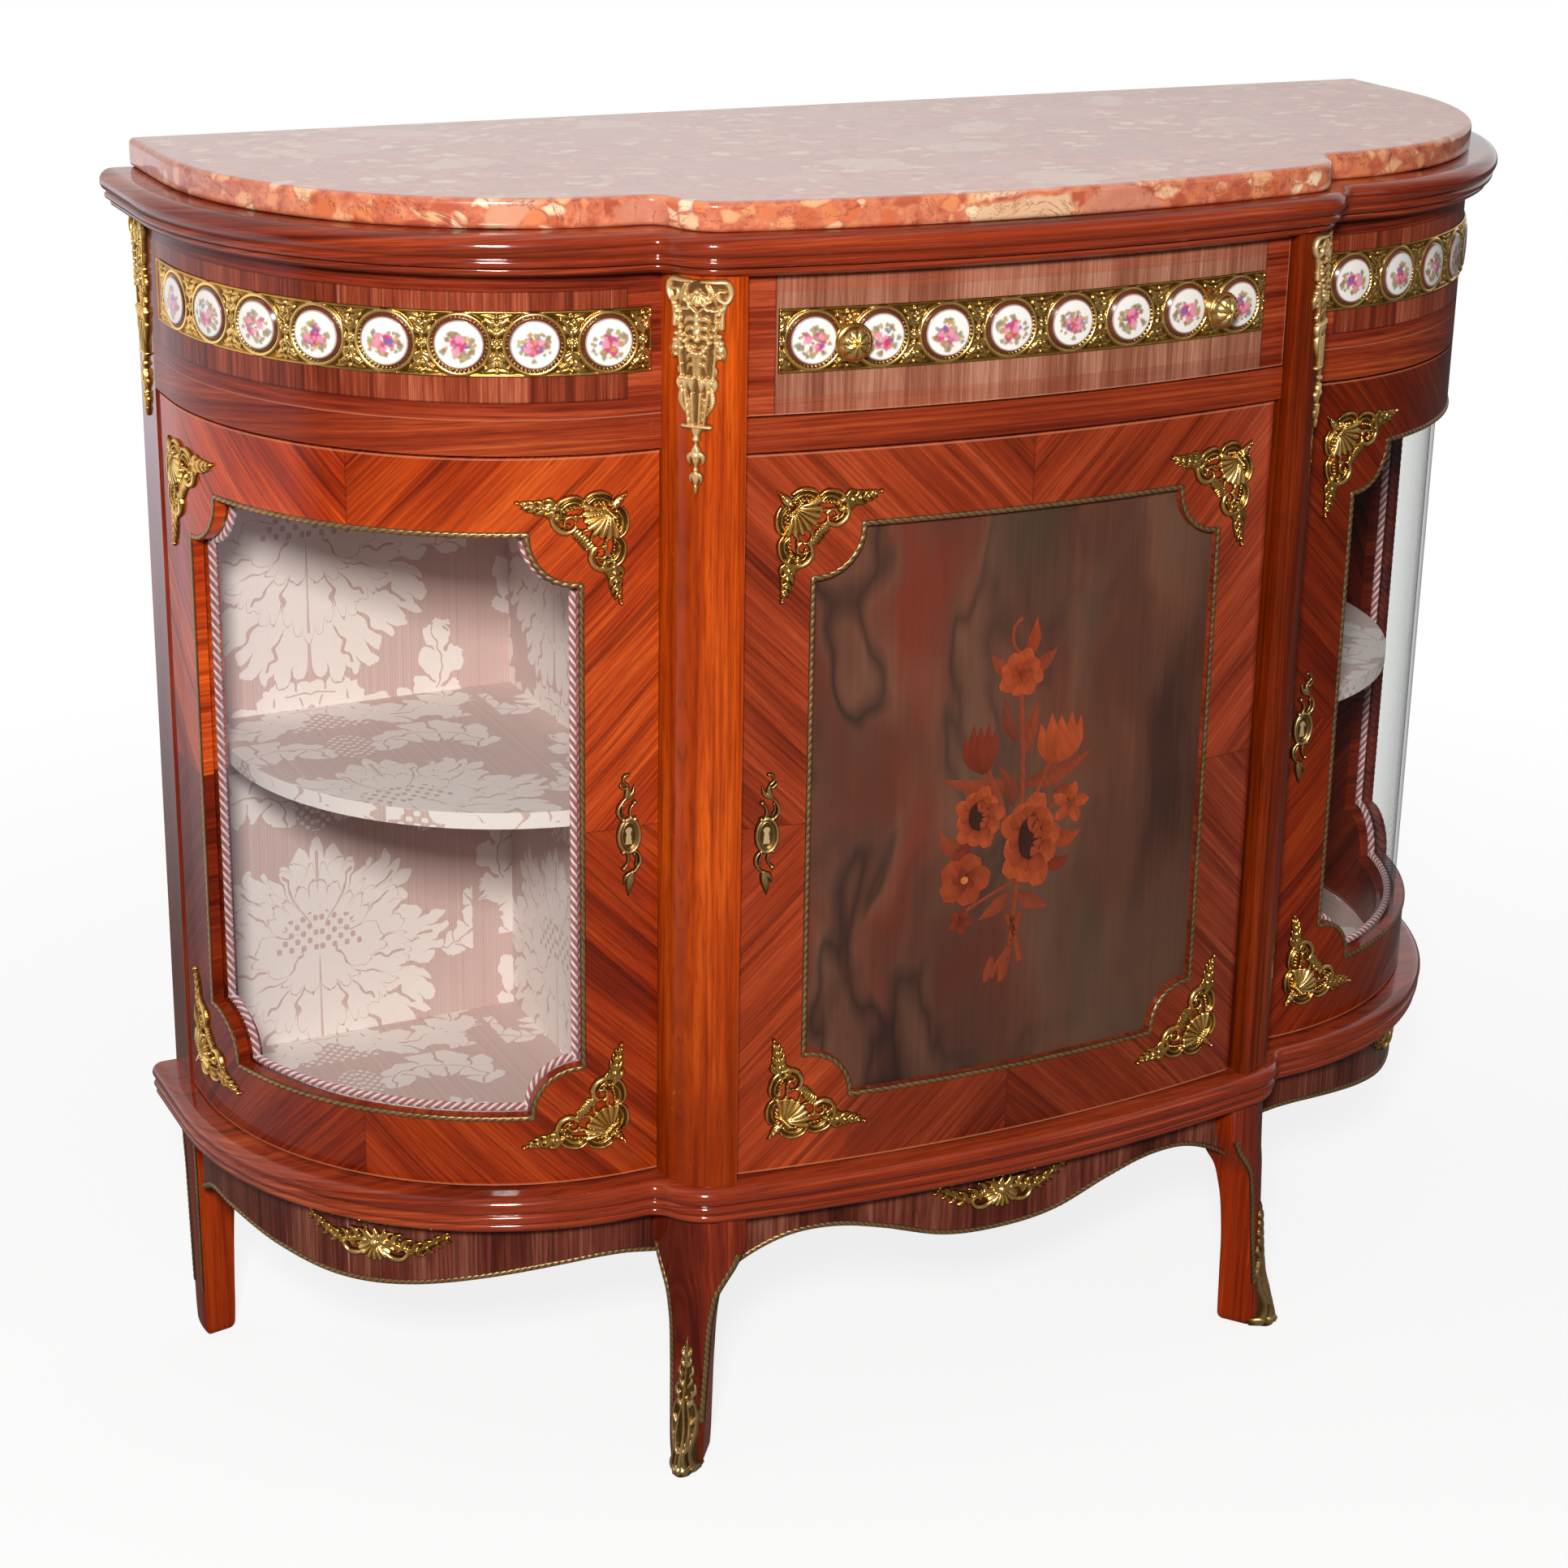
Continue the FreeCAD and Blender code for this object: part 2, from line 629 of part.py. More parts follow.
# Friezes and rail boards
frieze = wing_shell(-door_thickness, 0, pilaster_outer_x, stile_width, rail_top_z, cornice_z)
keep("frieze_right", frieze)
keep("frieze_left", mirrored(frieze))
rail = wing_region(0, partition_outer_x, back_thickness, rail_bottom_z, rail_top_z).cut(pilaster_block).cut(stile)
keep("rail_right", rail)
keep("rail_left", mirrored(rail))
rail_centre = box(-partition_inner_x, partition_inner_x, back_thickness, pilaster_back_depth, rail_bottom_z, rail_top_z)
rail_nose = bow_shell(-2 * panel_thickness - door_thickness * 3, 0, -pilaster_inner_x, pilaster_inner_x, rail_bottom_z, rail_top_z)
keep("rail_centre", rail_centre.fuse(rail_nose).removeSplitter())

# Legs and aprons
diagonal = outward(45)
sideways = outward(0)
front_leg = leg_solid(pilaster_centre_x, pilaster_centre_depth, 45, front_leg_widths, front_leg_reaches,
                      front_leg_thicknesses, front_leg_bulges)
back_leg = leg_solid(0, stile_width / 2, 0, back_leg_widths, back_leg_reaches, back_leg_thicknesses, back_leg_bulges)
keep("leg_front_right", front_leg)
keep("leg_front_left", mirrored(front_leg))
keep("leg_back_right", back_leg)
keep("leg_back_left", mirrored(back_leg))

apron_low = min(wing_apron_lower + bow_apron_lower)
wing_middle = at(wing_centre_x, wing_centre_depth, 0)
wing_apron_block = spline_block(wing_apron_across, wing_apron_lower, leg_height, 0, wing_middle, diagonal, apron_tool_depth)
apron_out = -apron_face_setback
apron_in = apron_out - apron_thickness
wing_apron = wing_shell(apron_in, apron_out, pilaster_inner_x, stile_width / 2, apron_low, leg_height)
wing_apron = wing_apron.common(wing_apron_block).cut(front_leg).cut(back_leg)
wing_apron = max(wing_apron.Solids, key=lambda s: s.Volume)
keep("apron_right", wing_apron)
keep("apron_left", mirrored(wing_apron))

bow_across = [-a for a in reversed(bow_apron_across[1:])] + bow_apron_across
bow_lower = list(reversed(bow_apron_lower[1:])) + bow_apron_lower
forward = outward(90)
bow_middle = at(0, 0, 0)
bow_block = spline_block(bow_across, bow_lower, leg_height, 0, bow_middle, forward, apron_tool_depth)
bow_apron = bow_shell(apron_in, apron_out, -pilaster_outer_x, pilaster_outer_x, apron_low, leg_height)
bow_apron = bow_apron.common(bow_block).cut(front_leg).cut(mirrored(front_leg))
bow_apron = max(bow_apron.Solids, key=lambda s: s.Volume)
keep("apron_centre", bow_apron)

# Gilt edging of aprons and legs
wing_line = wing_shell(apron_out, apron_out + edging_thickness, pilaster_outer_x, stile_width, apron_low, leg_height)
wing_line = wing_line.common(wing_apron_block)
wing_line = wing_line.cut(spline_block(wing_apron_across, wing_apron_lower, leg_height + edging_width, edging_width,
                                       wing_middle, diagonal, apron_tool_depth))
wing_line = wing_line.cut(front_leg).cut(back_leg)
bow_line = bow_shell(apron_out, apron_out + edging_thickness, -pilaster_inner_x, pilaster_inner_x, apron_low, leg_height)
bow_line = bow_line.common(bow_block)
bow_line = bow_line.cut(spline_block(bow_across, bow_lower, leg_height + edging_width, edging_width, bow_middle,
                                     forward, apron_tool_depth))
bow_line = bow_line.cut(front_leg).cut(mirrored(front_leg))


def leg_edging(leg, widths, origin, direction):
    skin = leg.copy()
    skin.translate(direction * edging_thickness)
    skin = skin.cut(leg)
    span = leg_band(widths, leg_edging_bottom_z, leg_edging_top_z, 0, origin, direction, apron_tool_depth)
    core = leg_band(widths, leg_edging_bottom_z, leg_edging_top_z, edging_width, origin, direction, apron_tool_depth)
    return skin.common(span).cut(core)


front_origin = at(pilaster_centre_x, pilaster_centre_depth, 0)
back_origin = at(carcase_half_width, stile_width / 2, 0)
front_trim = leg_edging(front_leg, front_leg_widths, front_origin, diagonal).cut(wing_apron).cut(bow_apron)
back_trim = leg_edging(back_leg, back_leg_widths, back_origin, sideways).cut(wing_apron)


def sizeable(shape, limit):
    return [s for s in shape.Solids if s.Volume > limit]


small = edging_width * edging_thickness * edging_width
front_trim = group(sizeable(front_trim, small))
back_trim = group(sizeable(back_trim, small))
line_right = group(sizeable(wing_line.cut(front_trim).cut(back_trim), small))
line_centre = group(sizeable(bow_line.cut(front_trim).cut(mirrored(front_trim)), small))
keep("gilt_edging", group([line_centre, line_right, mirrored(line_right), front_trim, mirrored(front_trim),
                           back_trim, mirrored(back_trim)]))


# Leaf sabots on the two front legs
def sabot(leg, origin, direction, width):
    skin = leg.copy()
    seat = leg.copy()
    skin.translate(direction * sabot_thickness)
    seat.translate(direction * sabot_seat_gap)
    skin = skin.cut(seat)
    leaf = plate(leaf_shape(width, sabot_height), origin, direction, apron_tool_depth)
    return max(skin.common(leaf).Solids, key=lambda s: s.Volume)


sabots = both_sides([sabot(front_leg, front_origin, diagonal, sabot_width)])
keep("sabots", sabots)
keep("gilt_edging", group(sizeable(nodes["gilt_edging"].cut(sabots), small)))

# Drop mounts on pilasters and stiles, and apron mounts
drop_skin = pilaster.copy()
drop_skin.translate(diagonal * drop_mount_thickness)
drop_skin = drop_skin.cut(pilaster)
drop_tool = plate(drop_shape(drop_mount_width, drop_mount_height, drop_mount_tip_width),
                  at(pilaster_centre_x, pilaster_centre_depth, drop_mount_top_z), diagonal, pilaster_radius * 2)
front_half = Part.makeBox(total_depth, total_depth, total_height)
front_half.translate(at(pilaster_centre_x, total_depth * 2, 0))
pilaster_drop = drop_skin.common(drop_tool)
pilaster_drop = max(pilaster_drop.Solids, key=lambda s: s.CenterOfMass.x - s.CenterOfMass.y)
stile_drop = plate(drop_shape(stile_drop_width, drop_mount_height, drop_mount_tip_width),
                   at(carcase_half_width, stile_width / 2, drop_mount_top_z), sideways, drop_mount_thickness)
stile_drop = stile_drop.cut(stile)
apron_mount_right = plate(apron_mount_shape(apron_mount_width, apron_mount_height),
                          around(wing_centre_x, wing_centre_depth, wing_radius, 45, apron_mount_z), diagonal,
                          door_thickness * 2)
apron_mount_right = apron_mount_right.common(wing_shell(apron_out, apron_out + drop_mount_thickness, pilaster_outer_x,
                                                        stile_width, apron_low, leg_height))
apron_mount_right = apron_mount_right.cut(line_right)
apron_mount_centre = plate(apron_mount_shape(apron_mount_width, apron_mount_height),
                           at(0, bow_front_depth, centre_apron_mount_z), forward, door_thickness * 2)
apron_mount_centre = apron_mount_centre.common(bow_shell(apron_out, apron_out + drop_mount_thickness,
                                                         -pilaster_inner_x, pilaster_inner_x, apron_low, leg_height))
apron_mount_centre = apron_mount_centre.cut(line_centre)
keep("carcase_mounts", group([pilaster_drop, mirrored(pilaster_drop), stile_drop, mirrored(stile_drop),
                              apron_mount_right, mirrored(apron_mount_right), apron_mount_centre]))

# Plaque bands and plaques on the side friezes
side_band = wing_shell(0, band_thickness, band_front_x, band_back_depth, band_bottom_z, band_top_z)
side_skin = wing_shell(0, plaque_thickness, band_front_x, band_back_depth, band_bottom_z, band_top_z)
side_plaques = []
for k in range(plaque_count):
    angle = 90 - plaque_first_angle - k * plaque_angle_step
    direction = outward(angle)
    start = around(wing_centre_x, wing_centre_depth, wing_radius - door_thickness, angle, plaque_z)
    side_band = side_band.cut(Part.makeCylinder(plaque_hole_radius, 2 * door_thickness, start, direction))
    disc = Part.makeCylinder(plaque_radius, 2 * door_thickness, start, direction)
    side_plaques.append(disc.common(side_skin))
keep("side_bands", both_sides([side_band]))
keep("side_plaques", both_sides(side_plaques))

# Linings of the side cupboards
lining_back = box(partition_outer_x + sheet_thickness, stile_inner_x, back_thickness, back_thickness + sheet_thickness,
                  floor_z, rail_bottom_z)
lining_side = box(partition_outer_x, partition_outer_x + sheet_thickness, back_thickness, pilaster_back_depth,
                  floor_z, rail_bottom_z)
lining_floor = wing_region(-door_thickness - bolt_clearance, partition_outer_x + sheet_thickness,
                           back_thickness + sheet_thickness, floor_z, floor_z + sheet_thickness)
lining_floor = lining_floor.cut(pilaster_block).cut(stile)
lining_floor = lining_floor.cut(post(wing_pivot_x, wing_pivot_depth, door_thickness, floor_z, rail_bottom_z))
lining = lining_back.fuse(lining_side).fuse(lining_floor).removeSplitter()
keep("lining_right", lining)
keep("lining_left", mirrored(lining))

# Shelves and their pins
shelf_bottom_z = shelf_top_z - shelf_thickness
side_shelf = wing_region(-door_thickness - shelf_door_clearance, partition_outer_x + sheet_thickness,
                         back_thickness + sheet_thickness, shelf_bottom_z, shelf_top_z).cut(pilaster_block).cut(stile)
keep("shelf_right", side_shelf)
keep("shelf_left", mirrored(side_shelf))
keep("shelf_centre", box(-partition_inner_x, partition_inner_x, back_thickness, pilaster_back_depth, shelf_bottom_z, shelf_top_z))
pin_reach = drawer_side_thickness
pins = []
for depth in (wing_centre_depth, pilaster_back_depth - wing_centre_depth):
    pins.append(Part.makeCylinder(pivot_pin_radius, pin_reach,
                                  at(partition_outer_x + sheet_thickness, depth, shelf_bottom_z - pivot_pin_radius),
                                  FreeCAD.Vector(1, 0, 0)))
    pins.append(Part.makeCylinder(pivot_pin_radius, pin_reach,
                                  at(partition_inner_x, depth, shelf_bottom_z - pivot_pin_radius),
                                  FreeCAD.Vector(-1, 0, 0)))
for x in (wing_centre_x + wing_centre_depth, stile_inner_x - wing_centre_depth):
    pins.append(Part.makeCylinder(pivot_pin_radius, pin_reach,
                                  at(x, back_thickness + sheet_thickness, shelf_bottom_z - pivot_pin_radius),
                                  FreeCAD.Vector(0, -1, 0)))
keep("shelf_pins", both_sides(pins))

# Drawer
drawer_face = bow_shell(-drawer_front_inset, 0, -centre_door_half_width, centre_door_half_width, drawer_bottom_z, drawer_top_z)
keep("drawer_front", drawer_face)
side_front = bow_depth(drawer_box_half_width, -drawer_front_inset)
inner_half = drawer_box_half_width - drawer_side_thickness
side_board = box(inner_half, drawer_box_half_width, drawer_box_back_depth, bow_front_depth, drawer_box_bottom_z, drawer_box_top_z)
behind = box(-pilaster_inner_x, pilaster_inner_x, 0, bow_front_depth, drawer_bottom_z, drawer_top_z)
behind = behind.cut(bow_shell(-drawer_front_inset, cornice_projection * 2, -pilaster_inner_x, pilaster_inner_x,
                              drawer_bottom_z, drawer_top_z))
behind = max(behind.Solids, key=lambda s: s.Volume)
side_board = side_board.common(behind)
keep("drawer_sides", both_sides([side_board]))
keep("drawer_back", box(-inner_half, inner_half, drawer_box_back_depth, drawer_box_back_depth + drawer_side_thickness,
                        drawer_box_bottom_z, drawer_box_top_z))
floor_low = drawer_box_bottom_z + drawer_groove_rise
keep("drawer_bottom", box(-inner_half, inner_half, drawer_box_back_depth + drawer_side_thickness, bow_front_depth,
                          floor_low, floor_low + drawer_bottom_thickness).common(behind))

centre_band = bow_shell(0, band_thickness, -centre_band_half_width, centre_band_half_width, band_bottom_z, band_top_z)
centre_skin = bow_shell(0, plaque_thickness, -centre_band_half_width, centre_band_half_width, band_bottom_z, band_top_z)
knob_profile_shares = ((0.0, 0.0), (knob_base_radius, 0.0), (knob_base_radius, knob_base_length),
                       (knob_neck_radius, knob_base_length + knob_base_length), (knob_neck_radius, knob_neck_length),
                       (knob_radius, knob_neck_length + knob_base_length), (knob_radius, knob_length - knob_neck_radius),
                       (knob_neck_radius, knob_length), (0.0, knob_length))
knobs = []
knob_cutters = []
for x in (-knob_x, knob_x):
    direction = outward(bow_angle(x))
    seat = at(x, bow_depth(x, 0), knob_z)
    line = []
    for r, l in knob_profile_shares:
        line.append(FreeCAD.Vector(r, 0, l))
    solid = Part.Face(loop(line)).revolve(FreeCAD.Vector(0, 0, 0), FreeCAD.Vector(0, 0, 1), 360)
    turn = FreeCAD.Rotation(FreeCAD.Vector(0, 0, 1), direction)
    solid.Placement = FreeCAD.Placement(seat, turn)
    knobs.append(solid.cut(drawer_face))
    knob_cutters.append(Part.makeCylinder(knob_base_radius + pin_clearance, 2 * door_thickness,
                                          seat - direction * door_thickness, direction))
plaques = []
for k in range(plaque_count):
    x = (k - (plaque_count - 1) / 2) * centre_plaque_spacing
    direction = outward(bow_angle(x))
    start = at(x, bow_depth(x, -door_thickness), plaque_z)
    centre_band = centre_band.cut(Part.makeCylinder(plaque_hole_radius, 2 * door_thickness, start, direction))
    plaques.append(Part.makeCylinder(plaque_radius, 2 * door_thickness, start, direction).common(centre_skin))
for cutter in knob_cutters:
    centre_band = centre_band.cut(cutter)
    plaques = [p.cut(cutter) for p in plaques]
keep("drawer_knobs", group(knobs))
keep("drawer_band", group([centre_band]))
keep("drawer_plaques", group(plaques))


# Side doors
def with_holes(body, origin, direction, spots, radius):
    for hole in holes(spots, origin, direction, radius, door_thickness * 2):
        body = body.cut(hole)
    return body


def key_slot(origin, direction):
    round_part = Part.makeCylinder(keyhole_radius, 4 * door_thickness, origin - direction * (2 * door_thickness), direction)
    slot = plate([(-keyhole_radius / 2, 0), (keyhole_radius / 2, 0), (keyhole_radius / 2, -keyhole_length),
                  (-keyhole_radius / 2, -keyhole_length)], origin, direction, 2 * door_thickness)
    return round_part.fuse(slot)


mount_low_z = door_bottom_z + corner_mount_margin_z
mount_high_z = door_top_z - corner_mount_margin_z
hole_shares = ((0.3, 0.16), (0.16, 0.34))
hole_radius = keyhole_radius

door = wing_shell(-door_thickness, 0, door_edge_x, wing_pivot_depth, door_bottom_z, door_top_z)
door = door.fuse(post(wing_pivot_x, wing_pivot_depth, pivot_setin, door_bottom_z, door_top_z)).removeSplitter()
glass_out = -glass_setback
glass_in = glass_out - glass_thickness
door = door.cut(wing_opening(-2 * door_thickness, door_thickness, 0))
door = door.cut(wing_opening(-2 * door_thickness, glass_out, rebate_width))
glass = wing_opening(glass_in, glass_out, rebate_width - pin_clearance)
rope = wing_opening(glass_in - rope_diameter, glass_in, rope_overlap)
rope = rope.cut(wing_opening(glass_in - 2 * rope_diameter, glass_in + rope_diameter, rope_overlap - rope_diameter))
edging = wing_opening(0, edging_thickness, edging_width).cut(wing_opening(-door_thickness, door_thickness, 0))
case_start = door_edge_x + lock_case_edge
case_box = box(case_start, case_start + lock_case_width, 0, total_depth, lock_z - lock_case_height / 2,
               lock_z + lock_case_height / 2)
case = wing_shell(-door_thickness, -lock_case_setback, door_edge_x, wing_pivot_depth, lock_z - lock_case_height / 2,
                  lock_z + lock_case_height / 2).common(case_box)
bolt_start = door_edge_x + bolt_clearance
bolt = box(bolt_start, bolt_start + bolt_length, wing_bolt_depth - bolt_thickness / 2, wing_bolt_depth + bolt_thickness / 2,
           lock_z - bolt_height / 2, lock_z + bolt_height / 2)
bolt_channel = box(door_edge_x - bolt_clearance, bolt_start + bolt_length + bolt_clearance,
                   wing_bolt_depth - half_bolt_thickness, wing_bolt_depth + half_bolt_thickness,
                   lock_z - half_bolt_height, lock_z + half_bolt_height)
key_origin = at(escutcheon_wing_x, wing_front_depth, lock_z)
door = door.cut(case).cut(bolt_channel)
case = case.cut(bolt_channel)
pin_low = post(wing_pivot_x, wing_pivot_depth, pivot_pin_radius, floor_z, floor_z + pivot_pin_length)
pin_high = post(wing_pivot_x, wing_pivot_depth, pivot_pin_radius, rail_bottom_z - pivot_pin_length, rail_bottom_z)
hole_radius_pin = pivot_pin_radius + pin_clearance
door = door.cut(post(wing_pivot_x, wing_pivot_depth, hole_radius_pin, floor_z, floor_z + pivot_pin_length + pivot_hole_extra))
door = door.cut(post(wing_pivot_x, wing_pivot_depth, hole_radius_pin, rail_bottom_z - pivot_pin_length - pivot_hole_extra,
                     rail_bottom_z))

mount_skin = wing_shell(0, mount_thickness, door_edge_x, wing_pivot_depth, door_bottom_z, door_top_z)
mounts = []
front_start = (wing_mount_front_x, wing_front_depth)
front_turn = 83
back_turn = 4
front_origin_xy = front_start
back_origin_xy = (carcase_half_width, wing_mount_back_depth)
for z, up in ((mount_low_z, 1), (mount_high_z, -1)):
    direction = outward(front_turn)
    origin = at(front_origin_xy[0], front_origin_xy[1], z)
    shape = plate(corner_shape(corner_mount_width, corner_mount_height, 1, up), origin, direction, door_thickness * 3)
    shape = with_holes(shape, origin, direction, [(a * corner_mount_width, up * b * corner_mount_height)
                                                  for a, b in hole_shares], hole_radius)
    mounts.append(shape.common(mount_skin).cut(edging))
    direction = outward(back_turn)
    origin = at(back_origin_xy[0], back_origin_xy[1], z)
    shape = plate(corner_shape(corner_mount_width, corner_mount_height, -1, up), origin, direction, door_thickness * 3)
    shape = with_holes(shape, origin, direction, [(-a * corner_mount_width, up * b * corner_mount_height)
                                                  for a, b in hole_shares], hole_radius)
    mounts.append(shape.common(mount_skin).cut(edging))
escutcheon = plate(cartouche(escutcheon_width, escutcheon_height), key_origin, forward, door_thickness)
escutcheon = escutcheon.common(mount_skin).cut(key_slot(key_origin, forward))
mounts.append(escutcheon)
mounts = [max(m.Solids, key=lambda s: s.Volume) for m in mounts]
keep("door_right_frame", door)
keep("door_right_glass", glass)
keep("door_right_rope", rope)
keep("door_right_edging", edging)
keep("door_right_fittings", group(mounts + [case]))
keep("bolt_right", bolt)
keep("door_left_frame", mirrored(door))
keep("door_left_glass", mirrored(glass))
keep("door_left_rope", mirrored(rope))
keep("door_left_edging", mirrored(edging))
keep("door_left_fittings", group([mirrored(m) for m in mounts + [case]]))
keep("bolt_left", mirrored(bolt))

# Centre door, hinged on the right
centre_pivot_depth = bow_depth(centre_pivot_x, -pivot_setin)
leaf = bow_shell(-door_thickness, 0, -centre_door_half_width, centre_pivot_x, door_bottom_z, door_top_z)
leaf = leaf.fuse(post(centre_pivot_x, centre_pivot_depth, pivot_setin, door_bottom_z, door_top_z)).removeSplitter()
leaf = leaf.common(box(-centre_door_half_width, centre_door_half_width, 0, total_depth, door_bottom_z, door_top_z))
leaf = leaf.cut(centre_opening(-panel_setback - panel_sheet_thickness, door_thickness, 0))
panel = centre_opening(-panel_setback - panel_sheet_thickness, -panel_setback, 0)
centre_edging = centre_opening(0, edging_thickness, edging_width).cut(centre_opening(-door_thickness, door_thickness, 0))
case_from = -centre_door_half_width + lock_case_edge
centre_case = bow_shell(-door_thickness, -lock_case_setback + bolt_clearance, case_from, case_from + lock_case_width,
                        lock_z - lock_case_height / 2, lock_z + lock_case_height / 2)
centre_bolt_start = -centre_door_half_width + bolt_clearance
centre_bolt = box(centre_bolt_start, centre_bolt_start + bolt_length, centre_bolt_depth - bolt_thickness / 2,
                  centre_bolt_depth + bolt_thickness / 2, lock_z - bolt_height / 2, lock_z + bolt_height / 2)
centre_channel = box(-centre_door_half_width - bolt_clearance, centre_bolt_start + bolt_length + bolt_clearance,
                     centre_bolt_depth - half_bolt_thickness, centre_bolt_depth + half_bolt_thickness,
                     lock_z - half_bolt_height, lock_z + half_bolt_height)
leaf = leaf.cut(centre_case).cut(centre_channel)
centre_case = centre_case.cut(centre_channel)
leaf = leaf.cut(post(centre_pivot_x, centre_pivot_depth, hole_radius_pin, floor_z,
                     floor_z + pivot_pin_length + pivot_hole_extra))
leaf = leaf.cut(post(centre_pivot_x, centre_pivot_depth, hole_radius_pin,
                     rail_bottom_z - pivot_pin_length - pivot_hole_extra, rail_bottom_z))
centre_pins = [post(centre_pivot_x, centre_pivot_depth, pivot_pin_radius, floor_z, floor_z + pivot_pin_length),
               post(centre_pivot_x, centre_pivot_depth, pivot_pin_radius, rail_bottom_z - pivot_pin_length, rail_bottom_z)]
centre_skin = bow_shell(0, mount_thickness, -centre_mount_x, centre_mount_x, door_bottom_z, door_top_z)
wide_skin = bow_shell(0, mount_thickness, -centre_door_half_width, centre_door_half_width, door_bottom_z, door_top_z)
centre_mounts = []
for side in (-1, 1):
    for z, up in ((mount_low_z, 1), (mount_high_z, -1)):
        origin = at(side * centre_mount_x, bow_front_depth, z)
        shape = plate(corner_shape(corner_mount_width, corner_mount_height, -side, up), origin, forward, door_thickness * 3)
        shape = with_holes(shape, origin, forward, [(-side * a * corner_mount_width, up * b * corner_mount_height)
                                                    for a, b in hole_shares], hole_radius)
        centre_mounts.append(shape.common(centre_skin).cut(centre_edging))
centre_key = at(-escutcheon_centre_x, bow_front_depth, lock_z)
key_plate = plate(cartouche(escutcheon_width, escutcheon_height), centre_key, forward, door_thickness * 2)
centre_mounts.append(key_plate.common(wide_skin).cut(key_slot(centre_key, forward)))
centre_mounts = [max(m.Solids, key=lambda s: s.Volume) for m in centre_mounts]
keep("door_centre_frame", leaf)
keep("door_centre_panel", panel)
keep("door_centre_edging", centre_edging)
keep("door_centre_fittings", group(centre_mounts + [centre_case]))
keep("bolt_centre", centre_bolt)
keep("pivot_pins", group([pin_low, pin_high, mirrored(pin_low), mirrored(pin_high)] + centre_pins))

os.makedirs("parts", exist_ok=True)
for name, shape in nodes.items():
    shape.exportStep(os.path.join("parts", name + ".step"))
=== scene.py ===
"""Demilune sideboard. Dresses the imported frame: veneers, marble, gilt relief, fabric, glass and marquetry.

Shapes are in millimetres: a runs along a surface, z is the height, h stands out from it, d is the depth in front of
the wall, and side is -1 on the left and 1 on the right.
"""
import math

import bpy
import numpy as np
from mathutils import Matrix, Vector


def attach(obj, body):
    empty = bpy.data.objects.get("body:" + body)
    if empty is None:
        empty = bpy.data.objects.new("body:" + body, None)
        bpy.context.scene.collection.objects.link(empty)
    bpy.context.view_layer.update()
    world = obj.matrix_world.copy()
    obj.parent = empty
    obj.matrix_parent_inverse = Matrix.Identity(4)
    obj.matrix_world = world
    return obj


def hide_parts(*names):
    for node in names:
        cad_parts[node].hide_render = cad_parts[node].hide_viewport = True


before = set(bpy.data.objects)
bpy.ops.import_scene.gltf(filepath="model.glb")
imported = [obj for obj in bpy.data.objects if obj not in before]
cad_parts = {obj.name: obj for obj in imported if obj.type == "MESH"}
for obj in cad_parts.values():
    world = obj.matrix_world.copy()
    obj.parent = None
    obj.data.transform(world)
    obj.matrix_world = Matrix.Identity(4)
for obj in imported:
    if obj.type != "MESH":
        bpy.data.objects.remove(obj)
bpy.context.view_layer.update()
scene = bpy.context.scene
MM = 0.001
BACK = 197.25  # depth at which the frame's own y is 0
WING_R, WING_X, WING_D = 245.0, 273.0, 75.0  # bow of a side cupboard: radius and centre
BOW_R, BOW_D = 1227.0, -854.5  # bow of the middle: radius and centre
COLUMN_R, COLUMN_X, COLUMN_D = 38.0, 219.0, 325.92  # rounded face of a front pilaster: radius and centre
STILE_X, STILE_D = 518.0, 18.5  # side face and middle line of a back stile
WING_MIDDLE = WING_R * math.pi / 4  # half way round a side cupboard
DIAGONAL = 0.70711
BAND_Z, KNOB_A = 836.0, 143.25  # middle height of the plaque bands, and the knobs' place on the drawer
OPENING_Z = (284.0, 706.0)
SIDES = ((-1, "left"), (1, "right"))


# ---------------------------------------------------------------- shader helpers
def rgb(r, g, b):
    """An 8-bit display colour as a linear one."""
    def lin(c):
        """The display curve undone."""
        c = c / 255
        return c / 12.92 if c <= 0.04045 else ((c + 0.055) / 1.055) ** 2.4
    return (lin(r), lin(g), lin(b), 1.0)


def shades(*colours):
    """Display colours from the darkest to the palest, as linear ones."""
    return [rgb(*colour) for colour in colours]


class Sock:
    """A node output that takes part in sums: each operator adds the Math node of its name."""
    def __init__(self, owner, socket):
        self.owner, self.socket = owner, socket

    def __add__(self, o): return self.owner.math("ADD", self, o)
    def __radd__(self, o): return self.owner.math("ADD", o, self)
    def __sub__(self, o): return self.owner.math("SUBTRACT", self, o)
    def __rsub__(self, o): return self.owner.math("SUBTRACT", o, self)
    def __mul__(self, o): return self.owner.math("MULTIPLY", self, o)
    def __rmul__(self, o): return self.owner.math("MULTIPLY", o, self)
    def __truediv__(self, o): return self.owner.math("DIVIDE", self, o)
    def __pow__(self, o): return self.owner.math("POWER", self, o)
    def __gt__(self, o): return self.owner.math("GREATER_THAN", self, o)
    def __lt__(self, o): return self.owner.math("LESS_THAN", self, o)
    def __abs__(self): return self.owner.math("ABSOLUTE", self)
    def sin(self): return self.owner.math("SINE", self)
    def cos(self): return self.owner.math("COSINE", self)
    def fract(self): return self.owner.math("FRACT", self)
    def floor(self): return self.owner.math("FLOOR", self)
    def sqrt(self): return self.owner.math("SQRT", self)
    def top(self, o): return self.owner.math("MAXIMUM", self, o)
    def low(self, o): return self.owner.math("MINIMUM", self, o)

    def ramp01(self, a, b):
        """0 below a, 1 above b, straight between."""
        return self.owner.node("MapRange", {0: self, 1: a, 2: b, 3: 0.0, 4: 1.0}, clamp=True)


